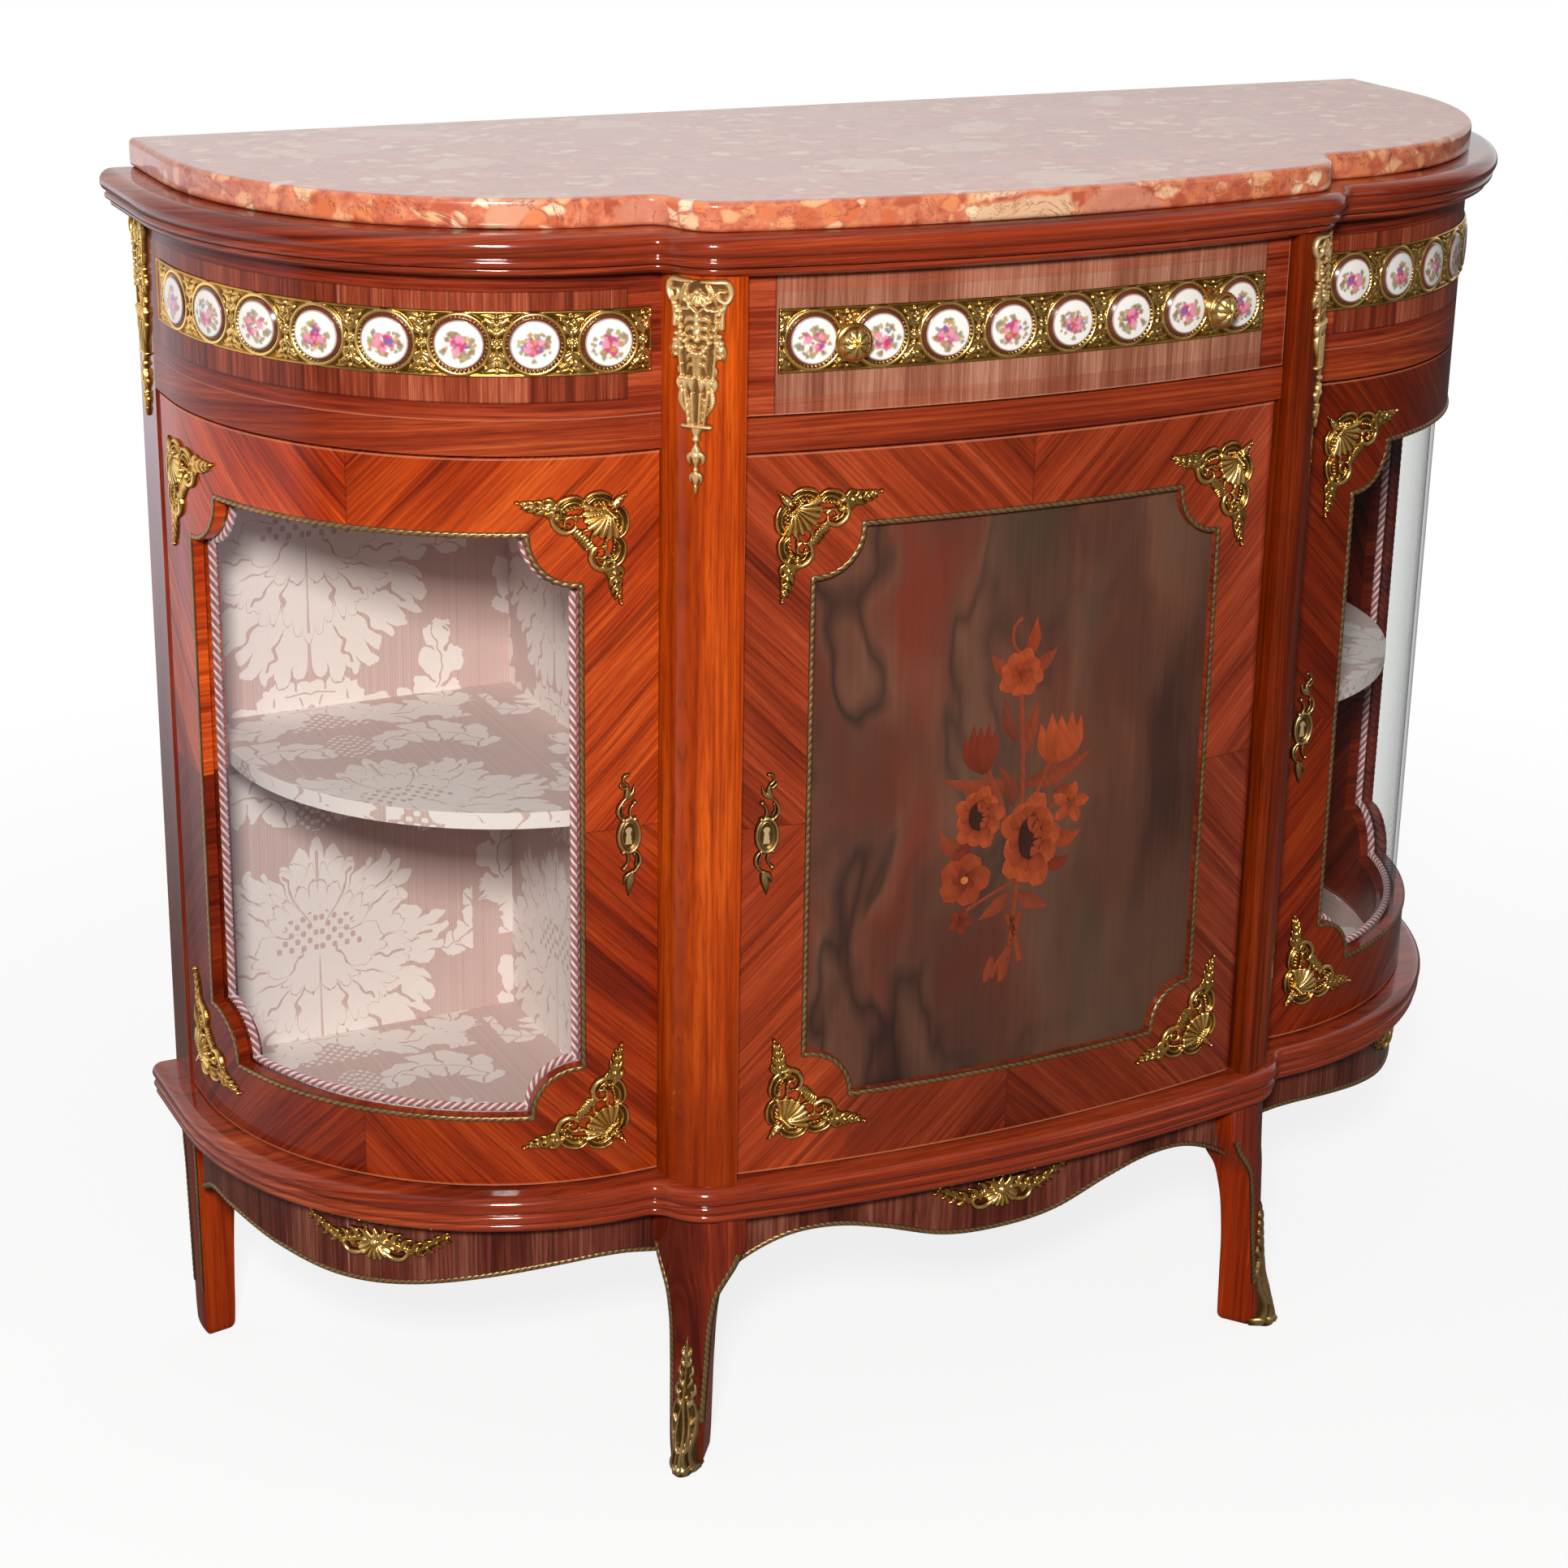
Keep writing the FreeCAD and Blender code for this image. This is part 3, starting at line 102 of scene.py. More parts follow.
class Tree:
    """A material or world tree. Each method adds one node and hands on its output."""
    def __init__(self, data):
        data.use_nodes = True
        self.data, self.tree = data, data.node_tree
        self.tree.nodes.clear()

    def put(self, socket, value):
        """A link or a value into a socket."""
        if isinstance(value, Sock):
            self.tree.links.new(value.socket, socket)
        elif value is not None:
            socket.default_value = value

    def node(self, kind, inputs=None, out=0, **props):
        """A node of a kind with its settings, then its inputs."""
        n = self.tree.nodes.new("ShaderNode" + kind)
        for k, v in props.items():
            setattr(n, k, v)
        for k, v in (inputs or {}).items():
            self.put(n.inputs[k], v)
        return Sock(self, n.outputs[out]) if len(n.outputs) else None

    def math(self, op, a, b=None):
        """One or two values through a Math node."""
        return self.node("Math", {0: a} if b is None else {0: a, 1: b}, operation=op)

    def vec(self, x=0.0, y=0.0, z=0.0):
        """Three values as one vector."""
        return self.node("CombineXYZ", {0: x, 1: y, 2: z})

    def split(self, v):
        """The three values of a vector."""
        n = self.tree.nodes.new("ShaderNodeSeparateXYZ")
        self.put(n.inputs[0], v)
        return [Sock(self, o) for o in n.outputs]

    def point(self):
        """Object coordinates in metres."""
        return self.node("TexCoord", out=3)

    def place(self):
        """Object coordinates in metres as x, y, z."""
        return self.split(self.point())

    def noise(self, v, scale=1.0, detail=2.0, rough=0.5, distortion=0.0, out=0):
        """Cloudy noise at a vector: octaves of halving size, each weaker by the roughness."""
        return self.node("TexNoise", {"Vector": v, "Scale": scale, "Detail": detail, "Roughness": rough,
                                      "Distortion": distortion}, out=out)

    def grain(self, u, v, seed, detail=2.0, rough=0.5):
        """Noise over two coordinates that come ready stretched, and a seed."""
        return self.noise(self.vec(u, v, seed), 1.0, detail, rough)

    def cells(self, v, scale, feature="F1", out=0):
        """The way to the nearest of scattered points, or to what the feature names."""
        return self.node("TexVoronoi", {"Vector": v, "Scale": scale}, out=out, feature=feature)

    def mix(self, f, a, b, blend="MIX"):
        """Colour a turned into b by the share f."""
        return self.node("Mix", {0: f, 6: a, 7: b}, out=2, data_type="RGBA", blend_type=blend)

    def ramp(self, f, places, colours):
        """Colours at their places between 0 and 1, straight between them."""
        n = self.tree.nodes.new("ShaderNodeValToRGB")
        e = n.color_ramp.elements
        while len(e) < len(places):
            e.new(0.5)
        for item, p, c in zip(e, places, colours):
            item.position, item.color = p, c
        self.put(n.inputs[0], f)
        return Sock(self, n.outputs[0])

    def bump(self, height, distance, strength):
        """The normal, tilted by the slope of a height."""
        return self.node("Bump", {"Height": height, "Distance": distance, "Strength": strength})

    def attr(self, name, out=2):
        """A mesh attribute as a value, or as a colour from output 0."""
        return self.node("Attribute", out=out, attribute_name=name)

    def finish(self, **values):
        """The surface with its values or links."""
        shader = self.node("BsdfPrincipled", {k.replace("_", " "): v for k, v in values.items()})
        self.node("OutputMaterial", {0: shader})
        return self.data


def material(name):
    """A new, empty material."""
    return Tree(bpy.data.materials.new(name))


# ---------------------------------------------------------------- woods
def veneer(m, along, across, seed, tones, wave=0.004, broad=42.0, streaks=None):
    """Colour and bump height of veneer with its grain along one coordinate, in metres: fine, broad and cloudy noise
    set the tone, then dark bands, flecks and pores go to the darkest tone, and pale streaks lie over all."""
    q = across + (m.grain(along * 3.0, across * 5.0, seed) - 0.5) * wave
    hair = m.grain(along * 7.0, q * 420.0, seed, 5.0, 0.65)
    band = m.grain(along * 1.8, q * broad, seed + 3.1, 5.0, 0.68)
    cloud = m.grain(along * 5.0, q * 9.0, seed + 5.7)
    colour = m.ramp(hair * 0.34 + band * 0.42 + cloud * 0.24, (0.37, 0.45, 0.52, 0.6), tones)
    dark = m.grain(along * 1.1, q * broad * 2.6, seed + 21.0, 3.0, 0.6).ramp01(0.56, 0.66)
    fleck = m.grain(along * 26.0, q * 640.0, seed + 30.0).ramp01(0.5, 0.68)
    pore = m.grain(along * 55.0, q * 2600.0, seed + 9.0).ramp01(0.58, 0.7)
    for mask, share in ((dark, 0.6), (fleck, 0.42), (pore, 0.5)):
        colour = m.mix(mask * share, colour, tones[0])
    if streaks is not None:
        line = m.grain(along * 1.5, across * 150.0, seed + 13.0).ramp01(0.69, 0.74)
        keep = m.grain(along * 9.0, across * 12.0, seed + 17.0).ramp01(0.42, 0.62)
        colour = m.mix(line * keep * streaks[1], colour, streaks[0])
    return colour, hair * 0.5 - pore


def lacquer(m, colour, height, rough=0.34, coat=0.07, weight=0.4, ior=1.45):
    """Polished wood under a clear coat."""
    x, y, z = m.place()
    haze = m.noise(m.vec(x * 7.0, y * 7.0, z * 7.0), 1.0, 3.0) * 0.06
    return m.finish(Base_Color=colour, Roughness=haze + rough, Specular_IOR_Level=0.05,
                    Coat_Weight=weight, Coat_Roughness=coat, Coat_IOR=ior, Normal=m.bump(height, 0.00004, 0.5))


def wing_u(m, x, y):
    """Length in metres along the wing's curve from its front, the same on both sides."""
    turn = m.math("ARCTAN2", abs(x) - WING_X * MM, y * -1.0 + (BACK - WING_D) * MM)
    return turn * (WING_R * MM)


RED = shades((88, 22, 6), (142, 42, 11), (176, 62, 17), (204, 86, 28))
CENTRE_RED = shades((88, 28, 12), (134, 47, 22), (154, 58, 28), (174, 74, 40))
DARK_RED = shades((58, 15, 8), (114, 36, 19), (148, 54, 29), (180, 80, 46))
MOULDING = shades((66, 18, 9), (118, 38, 18), (150, 54, 26), (180, 80, 42))
RAIL = shades((76, 22, 12), (124, 42, 22), (150, 56, 28), (182, 84, 42))
ORANGE = shades((104, 30, 3), (158, 54, 7), (186, 70, 11), (208, 92, 20))
# A darker copy of the pilaster's orange: painted shade for the right pilaster, which turns away from the light.
PAINTED_SHADE_ORANGE = shades((66, 17, 2), (100, 30, 4), (122, 39, 6), (146, 54, 12))
ROSE = shades((64, 22, 13), (122, 48, 29), (152, 68, 44), (186, 104, 76))
ROSEWOOD = shades((104, 54, 38), (140, 84, 64), (164, 108, 86), (190, 138, 114))
APRON = shades((42, 14, 10), (84, 34, 24), (108, 50, 38), (140, 84, 66))
LEG = shades((64, 15, 8), (104, 33, 17), (128, 43, 24), (158, 64, 38))
SIDE_WOOD = shades((104, 25, 2), (138, 40, 4), (158, 49, 7), (176, 62, 12))
DRAWER_WOOD = shades((150, 104, 62), (182, 134, 86), (200, 154, 104), (214, 174, 126))
PALE_STREAK = rgb(206, 160, 130)


def door_veneer(name, tones, seed, curved):
    """Four leaves of veneer matched about the middle, with the grain running out to the corners. Each leaf is
    darkened or lightened by painted light and shade, a dark seam parts them, and a painted highlight marks the rim of
    the front."""
    m = material(name)
    x, y, z = m.place()
    a, hand = (wing_u(m, x, y) - 0.1975, m.math("SIGN", x) * 5.0) if curved else (x, 1.0)
    b = z - 0.495
    pa, pb = abs(a), abs(b)
    low, high = b < 0.0, b > 0.0
    sheet = (a > 0.0) * 2.3 + high * 4.7 + hand
    colour, height = veneer(m, (pa + pb) * 0.7071, (pa - pb) * 0.7071, sheet * 0.13 + seed, tones, wave=0.012,
                            broad=38.0)
    facing = m.split(m.node("TexCoord", out=1))
    if curved:
        left, right = x < 0.0, x > 0.0
        # Painted light and shade by leaf: the lower leaves of the left door are darkened as painted shade, its upper
        # outer leaf is lightened as painted light, and the whole right door is darkened as the pilaster's painted
        # shadow and its turn away from the light.
        leaves = ((low * (a < 0.0) * left, (0.72, 0.62, 0.6)), (low * (a > 0.0) * left, (0.52, 0.4, 0.34)),
                  (high * (a > 0.0) * left, (1.3, 1.25, 1.1)), (high * right, (0.42, 0.34, 0.3)),
                  (low * right, (0.56, 0.46, 0.3)))
        rim, front = pb > 0.2636, abs(facing[2]) < 0.5
    else:
        # On the middle door: painted shade on the lower leaves except at the far left, a touch of painted light at
        # the lower far left, and a painted grey-blue reflection lightening the right end.
        leaves = ((low * a.ramp01(-0.16, -0.12), (0.68, 0.7, 0.78)), (low * (a < -0.13), (1.1, 1.08, 1.0)),
                  (a.ramp01(0.14, 0.19), (1.22, 1.45, 2.0)))
        rim, front = (pb > 0.2636).top(pa > 0.2128), facing[1] < -0.8
    for where, tint in leaves:
        colour = m.mix(where, colour, tint + (1.0,), "MULTIPLY")
    colour = m.mix((pa < 0.0005).top(pb < 0.0005) * 0.45, colour, rgb(70, 20, 8))
    # Painted highlight: a pale line along the rim of the front, where a rounded edge would catch the light.
    colour = m.mix(rim * front * 0.4, colour, rgb(214, 138, 104))
    return lacquer(m, colour, height, weight=0.6 if curved else 0.4)


def straight_wood(name, tones, seed, upright=True, streaks=None, broad=42.0, curved=False, rough=0.34, wave=0.004,
                  weight=0.4, low=0.0):
    """Wood with its grain up, or else level round the piece, with painted shade darkening it near its foot by "low".
    """
    m = material(name)
    x, y, z = m.place()
    flat = wing_u(m, x, y) if curved else x + y * 0.6
    along, across = (z, flat) if upright else (flat, z + y * 0.15)
    colour, height = veneer(m, along, across, seed, tones, broad=broad, streaks=streaks, wave=wave)
    # Painted shade: darker towards the darkest tone below 0.46 m, as less light falls near the foot.
    if low:
        colour = m.mix(z.ramp01(0.46, 0.26) * low, colour, tones[0])
    return lacquer(m, colour, height, rough=rough, weight=weight)


def framed_wood(name, tones, seed, half, z0, z1, middle, curved, streak):
    """Upright-grained field inside a border of a darker wood, with a dark line between and a painted highlight along
    the edge.
    On the drawer's front the border is full at the ends and faint above and below."""
    m = material(name)
    x, y, z = m.place()
    a = (wing_u(m, x, y) if curved else x) - middle
    colour, height = veneer(m, z, a, seed, tones, broad=30.0, streaks=(PALE_STREAK, streak), wave=0.002)
    ends, sides = half - abs(a), (z - z0).low(z1 - z)
    inner = ends if curved else ends - 0.01
    edge = inner.low(sides)
    rim, _ = veneer(m, a, z, seed + 4.0, DARK_RED)
    border = edge.ramp01(0.0125, 0.0115)
    if not curved:
        border = (border * 0.3).top(inner.ramp01(0.0125, 0.0115))
        edge = inner
    colour = m.mix(border, colour, rim)
    colour = m.mix((abs(edge - 0.012) < 0.0006) * 0.5, colour, rgb(48, 12, 7))
    # Painted highlight: a pale line along the outer edge, where a rounded edge would catch the light.
    edge_highlight = sides if curved else ends.low(sides)
    colour = m.mix((edge_highlight < 0.0009) * 0.4, colour, rgb(206, 138, 108))
    return lacquer(m, colour, height)


# ---------------------------------------------------------------- stone, metal, china, cloth
def breccia():
    """Broken stone: large pale pieces and small chips from two sets of cells with wavy edges, in a mottled matrix,
    crossed by dark veins, veiled in mauve grey on top as a painted reflection, and less glossy to the right."""
    m = material("breccia")
    p = m.point()
    x, y, z = m.split(p)
    wx, wy, wz = m.split(m.noise(p, 26.0, 3.0, 0.6, out=1))
    q = m.vec(x + wx * 0.026, y * 1.25 + wy * 0.026, z * 1.4 + wz * 0.02)
    big, small = 19.0, 72.0
    pick, pick_b, _ = m.split(m.cells(q, big, out=1))
    spick, spick_b, _ = m.split(m.cells(q, small, out=1))
    big_edge, small_edge = (m.cells(q, size, "DISTANCE_TO_EDGE") for size in (big, small))
    matrix = m.ramp(m.noise(p, 90.0, 5.0, 0.7), (0.3, 0.45, 0.6, 0.75),
                    shades((166, 78, 60), (200, 108, 80), (216, 134, 98), (232, 172, 134)))
    chips = m.ramp(spick, (0.0, 0.3, 0.55, 0.76, 0.92),
                   shades((172, 80, 60), (210, 112, 72), (226, 142, 92), (234, 180, 136), (244, 216, 180)))
    body = m.mix(small_edge.ramp01(0.0, 0.16) * (spick_b > 0.42), matrix, chips)
    clast = m.ramp(pick, (0.0, 0.4, 0.65, 0.85, 1.0),
                   shades((190, 108, 92), (204, 128, 102), (220, 168, 134), (234, 200, 164), (214, 170, 128)))
    clast = m.mix(m.noise(p, 40.0, 5.0, 0.7).ramp01(0.4, 0.7) * 0.6, clast, rgb(222, 158, 128))
    colour = m.mix(big_edge.ramp01(0.02, 0.09) * (pick_b > 0.7), body, clast)
    vein = m.noise(p, 14.0, 6.0, 0.7, 1.2)
    colour = m.mix((abs(vein - 0.5) < 0.006) * 0.6, colour, rgb(132, 62, 54))
    # Painted reflection: the upward faces are veiled towards a mauve grey, as the sheen of the pale backdrop behind.
    up = m.split(m.node("NewGeometry", out=1))[2] > 0.8
    colour = m.mix(up * 0.42, colour, rgb(190, 132, 121))
    gloss = x.ramp01(-0.2, 0.5) * -0.36 + 0.85
    return m.finish(Base_Color=colour, Roughness=0.32, Specular_IOR_Level=0.3, Coat_Weight=gloss, Coat_Roughness=0.03,
                    Normal=m.bump(m.noise(p, 300.0, 3.0), 0.00005, 0.3))


def gilt():
    """Gold darkened in its hollows as painted shade, from the relief attribute: bright from 0, old from 2, pale from
    4.
    """
    m = material("gilt")
    p = m.point()
    mark = m.attr("relief")
    old, pale = mark > 1.5, mark > 3.5
    patch = m.noise(p, 60.0, 3.0, 0.6)
    level = mark - old * 2.0 - pale * 2.0 + (patch - 0.5) * 0.3
    # Painted shade: by the relief height the colour and shine run from dark brown in the hollows to gold on the
    # raised parts.
    colour = m.ramp(level, (0.1, 0.42, 0.8), shades((60, 34, 12), (204, 150, 68), (255, 220, 140)))
    colour = m.mix(old, colour, m.ramp(level, (0.1, 0.5, 0.9), shades((56, 38, 20), (148, 116, 68), (216, 186, 130))))
    colour = m.mix(pale, colour,
                   m.ramp(level, (0.1, 0.42, 0.8), shades((88, 54, 24), (202, 156, 92), (248, 216, 158))))
    shine = m.node("Math", {0: level, 1: 3.0, 2: 0.35}, operation="MULTIPLY_ADD", use_clamp=True)
    return m.finish(Base_Color=colour, Metallic=shine * (1.0 - pale * 0.3), Roughness=patch * 0.16 + old * 0.09 + 0.2,
                    Normal=m.bump(m.noise(p, 1500.0, 2.0), 0.00008, 0.35))


def bolt_brass():
    """Plain brass, hammered by a set of cells."""
    m = material("bolt_brass")
    p = m.point()
    lump = m.cells(p, 200.0)
    colour = m.ramp(lump + m.noise(p, 70.0, 3.0) * 0.4, (0.25, 0.5, 0.85),
                    shades((140, 108, 56), (184, 148, 84), (206, 172, 108)))
    return m.finish(Base_Color=colour, Metallic=0.85, Roughness=0.3, Normal=m.bump(lump * -1.0, 0.00003, 0.8))


def strip_brass():
    """Dull brass of the edging strips, darkened as painted shade in the hollows of the relief attribute."""
    m = material("strip_brass")
    patch = m.noise(m.point(), 45.0, 3.0)
    colour = m.ramp(m.attr("relief") + (patch - 0.5) * 0.5, (0.1, 0.45, 0.9),
                    shades((50, 36, 22), (112, 86, 54), (164, 132, 90)))
    return m.finish(Base_Color=colour, Metallic=0.8, Roughness=0.4)


def china():
    """Glazed white china, painted by the paint attribute."""
    m = material("porcelain")
    return m.finish(Base_Color=m.attr("paint", out=0), Roughness=0.25, Coat_Weight=1.0, Coat_Roughness=0.03)


def damask(name, ground, thread):
    """Woven damask: fine stripes under large blossoms and leaves, by own formulas. A blossom is three rings of
    frilled petals about one middle, a leaf bends along an arc, and both repeat in dropped columns."""
    m = material(name)
    x, y, z = m.place()
    nx, ny, nz = m.split(m.node("NewGeometry", out=1))
    side = abs(nx) > 0.7
    flat = abs(nz) > 0.7
    u = x * (1.0 - side) + y * side
    v = z * (1.0 - flat) + y * flat
    w, h = 0.25, 0.33
    su = u + 0.03
    col = (su / w).floor()
    fu = abs((su / w).fract() * w - w / 2)
    shift = (col * 0.5).fract() * 2.0
    fv = (v / h + shift * 0.5 + 0.62).fract() * h - h / 2
    wu, wv, _ = m.split(m.noise(m.vec(fu, fv, 3.0), 30.0, 2.0, 0.6, out=1))
    cu = fu + (wu - 0.5) * (fu * 40.0).low(1.0) * 0.034
    cv = fv + (wv - 0.5) * 0.034
    nap = (m.noise(m.vec(u, v, 5.0), 420.0, 1.0) - 0.5) * 0.0045

    def ring(dv, size, count, depth, turn, frills):
        """Frilled petals about a middle: distance inside the edge and lobe."""
        v2 = cv - dv
        r = (cu * cu + v2 * v2).sqrt()
        t = m.math("ARCTAN2", cu, v2)
        lobe = abs((t * (count / 2.0) + turn).sin())
        frill = abs((t * (count * frills / 2.0) + turn * frills).sin())
        edge = (lobe ** 0.5) * (size * depth) + (frill ** 0.5) * (size * 0.17) + size * (0.83 - depth)
        return edge - r + nap, lobe

    gap, lobe = ring(-0.004, 0.104, 9.0, 0.26, math.pi / 2, 5.0)
    gap2, lobe2 = ring(0.010, 0.078, 9.0, 0.24, 0.0, 5.0)
    gap3, lobe3 = ring(0.020, 0.050, 7.0, 0.24, math.pi / 2, 3.0)
    rim = 0.0011
    lines = ((gap2 > 0.0) * (gap2 < rim)).top((gap3 > 0.0) * (gap3 < rim))
    lines = lines.top((lobe < 0.09) * (gap2 < 0.0)).top((lobe2 < 0.09) * (gap2 > 0.0) * (gap3 < 0.0))
    lines = lines.top((lobe > 0.9975) * (gap > 0.012) * (gap2 < -0.003))
    lines = lines.top((lobe2 > 0.9975) * (gap2 > 0.008) * (gap3 < -0.002))
    lines = lines.top((lobe3 < 0.09) * (gap3 > 0.0) * (gap3 < 0.02))
    seeds = (((fu * 640.0).sin() * (fv * 520.0).sin()) > 0.3) * (gap3 > 0.016) * (fv > 0.012)
    bloom = (gap > 0.0) * (1.0 - lines.top(seeds))

    def scroll(ou, ov, radius, start, span, width, lobes, grow=0.0):
        """A lobed leaf that bends along an arc, with veins."""
        du, dv = cu - ou, cv - ov
        rr = (du * du + dv * dv).sqrt()
        turn = ((m.math("ARCTAN2", dv, du) - start) / (2 * math.pi)).fract() * (2 * math.pi)
        k = (turn / span).low(1.0)
        q = rr - radius - k * grow
        lobe = abs((k * (lobes * math.pi) + abs(q) * -70.0).sin())
        half = ((k * math.pi).sin().top(0.0) ** 0.5) * ((lobe ** 0.6) * 0.6 + 0.4) * width + nap
        body = (abs(q) < half) * (turn < span)
        vein = (abs(q) < 0.0007).top((lobe < 0.16) * (abs(q) > half * 0.35))
        return body * (1.0 - vein)

    leaves = scroll(0.062, -0.098, 0.036, 3.2, 3.9, 0.024, 6.0, 0.010)
    for spec in ((0.060, 0.112, 0.030, -0.6, 3.7, 0.021, 6.0, 0.006), (0.0, -0.152, 0.044, 0.10, 1.6, 0.017, 4.0),
                 (0.104, 0.020, 0.024, 4.4, 3.0, 0.014, 4.0), (0.106, -0.150, 0.022, 0.8, 3.9, 0.014, 5.0)):
        leaves = leaves.top(scroll(*spec))
    grape = ((fu * 760.0).sin() * ((fv - 0.11) * 760.0).cos() > 0.2) * (
        fu * fu * 2.2 + (fv - 0.135) * (fv - 0.135) < 0.0006)
    spray = ((fu * 700.0).cos() * (fv * 700.0).sin() > 0.25) * (abs(fv + 0.135) < 0.018) * (fu < 0.03)
    figure = bloom.top(leaves * (gap < -0.002)).top(grape).top(spray).low(1.0)
    stripe = (u * 2900.0).sin() * 0.5 + 0.5
    broadband = m.noise(m.vec(u * 300.0, 0.0, 0.0), 1.0, 2.0).ramp01(0.35, 0.65)
    weft = (v * 5200.0).sin() * 0.5 + 0.5
    base = m.mix(stripe * 0.16 + broadband * 0.2, ground, thread)
    base = m.mix(weft * 0.12, base, rgb(120, 84, 80))
    satin = m.mix(m.grain(u * 900.0, v * 900.0, 1.0) * 0.22, thread, ground)
    colour = m.mix(figure, base, satin)
    height = figure * 0.6 + stripe * 0.2 + weft * 0.2
    return m.finish(Base_Color=colour, Roughness=0.72, Sheen_Weight=0.3, Normal=m.bump(height, 0.00025, 0.6))


def clear_glass():
    """Clear glass: straight through, with a mirror on the faces outwards that grows with the slant."""
    m = material("glass")
    facing = m.node("NewGeometry", out=6)
    fresnel = m.node("Fresnel", {"IOR": 1.45}) * (1.0 - facing)
    clear = m.node("BsdfTransparent", {"Color": (0.97, 0.975, 0.97, 1.0)})
    gloss = m.node("BsdfGlossy", {"Color": (0.42, 0.5, 0.57, 1.0), "Roughness": 0.02})
    shader = m.node("MixShader", {0: fresnel, 1: clear, 2: gloss})
    m.node("OutputMaterial", {0: shader})
    return m.data


def rope_cloth():
    """Silk strands, pale or pink by the relief attribute, with fine fibres."""
    m = material("rope_cord")
    fibre = m.noise(m.point(), 900.0, 2.0)
    colour = m.mix(m.attr("relief"), rgb(172, 92, 96), rgb(244, 226, 224))
    colour = m.mix(fibre * 0.3, colour, rgb(150, 76, 72))
    return m.finish(Base_Color=colour, Roughness=0.6, Sheen_Weight=0.4, Normal=m.bump(fibre, 0.0003, 0.6))


def panel_veneer():
    """Dark figured veneer: a flame-like noise sets the tone, then red fields, brown shades, dark rings about the
    fields and a grey veil lie over it, the first three stronger on the left."""
    m = material("panel_veneer")
    x, y, z = m.place()
    wx = m.grain(x * 9.0, z * 3.5, 2.0, 3.0) - 0.5
    flame = m.grain(x * 15.0 + wx * 2.0, z * 3.2, 5.0, 3.0)
    hair = m.grain(x * 300.0, z * 7.0, 3.0, 4.0)
    colour = m.ramp(flame * 0.86 + hair * 0.14, (0.34, 0.46, 0.55, 0.68),
                    shades((66, 43, 35), (90, 57, 45), (104, 66, 51), (124, 82, 63)))
    left = (x * -1.0).ramp01(-0.08, 0.1)
    field = m.grain(x * 17.0 + wx * 1.8, z * 6.4, 12.8)
    shade = m.grain(x * 12.0 + wx * 3.0, z * 4.0, 44.0)
    veil = m.grain(x * 13.0 + wx * 2.0, z * 5.0, 31.0)
    for share, tint in ((field.ramp01(0.47, 0.66) * (left * 0.6 + 0.12), (116, 42, 28)),
                        (shade.ramp01(0.46, 0.62) * (left * 0.5 + 0.1), (50, 34, 30)),
                        ((1.0 - abs(field - 0.46).ramp01(0.0, 0.05)) * (left * 0.6 + 0.08), (34, 26, 26)),
                        (veil.ramp01(0.45, 0.7) * (0.6 - left * 0.45), (82, 72, 60))):
        colour = m.mix(share, colour, rgb(*tint))
    return lacquer(m, colour, hair, rough=0.42, coat=0.16)


def inlay():
    """The marquetry's own woods, from the paint attribute, under the same lacquer."""
    m = material("marquetry_wood")
    x, y, z = m.place()
    fibre = m.grain(x * 300.0 + z * 120.0, z * 60.0, 1.0, 3.0)
    colour = m.mix(fibre.ramp01(0.35, 0.75) * 0.35, m.attr("paint", out=0), rgb(84, 38, 22))
    return lacquer(m, colour, fibre, rough=0.42, coat=0.16)


def leg_wood(name, weight=0.4, ior=1.45):
    """Dark veneer on the leg's outer face, plain orange wood on its sides."""
    m = material(name)
    x, y, z = m.place()
    nx, ny, _ = m.split(m.node("NewGeometry", out=1))
    fore = y * -1.0 > 0.0
    out = (nx * m.math("SIGN", x)) * (1.0 - fore * 0.29289) - ny * fore * DIAGONAL
    face = out.ramp01(0.45, 0.52).top(z > 0.2)
    front, height = veneer(m, z, x + y * 0.6, 9.0, LEG, broad=60.0)
    side, _ = veneer(m, z, x - y * 0.6, 9.5, SIDE_WOOD, broad=50.0)
    return lacquer(m, m.mix(face, side, front), height, weight=weight, ior=ior)


# ---------------------------------------------------------------- surfaces in millimetres
def row(x, d, z):
    """Points in the frame, in metres, from places along the wall, depths and heights."""
    x, d, z = np.broadcast_arrays(np.asarray(x, float), np.asarray(d, float), np.asarray(z, float))
    return np.stack([x * MM, (BACK - d) * MM, z * MM], -1)


def wing(a, z, h=0.0, side=1):
    """Quarter circle of a side cupboard, from its front, straight before and after it."""
    turn = np.clip(a / WING_R, 0.0, math.pi / 2)
    spare = a - turn * WING_R
    x = WING_X + (WING_R + h) * np.sin(turn) + np.minimum(spare, 0.0)
    return row(side * x, WING_D + (WING_R + h) * np.cos(turn) - np.maximum(spare, 0.0), z)


def bow(a, z, h=0.0, side=1):
    """Flat arc of the middle, from its middle line."""
    turn = a / BOW_R
    return row(side * (BOW_R + h) * np.sin(turn), BOW_D + (BOW_R + h) * np.cos(turn), z)


def column(a, z, h=0.0, side=1):
    """Rounded face of a pilaster, from its middle line, which looks out at 45 degrees."""
    turn = math.pi / 4 + a / COLUMN_R
    return row(side * (COLUMN_X + (COLUMN_R + h) * np.sin(turn)), COLUMN_D + (COLUMN_R + h) * np.cos(turn), z)


def stile(a, z, h=0.0, side=1):
    """Flat side face of a back stile."""
    return row(side * (STILE_X + h), STILE_D - a, z)


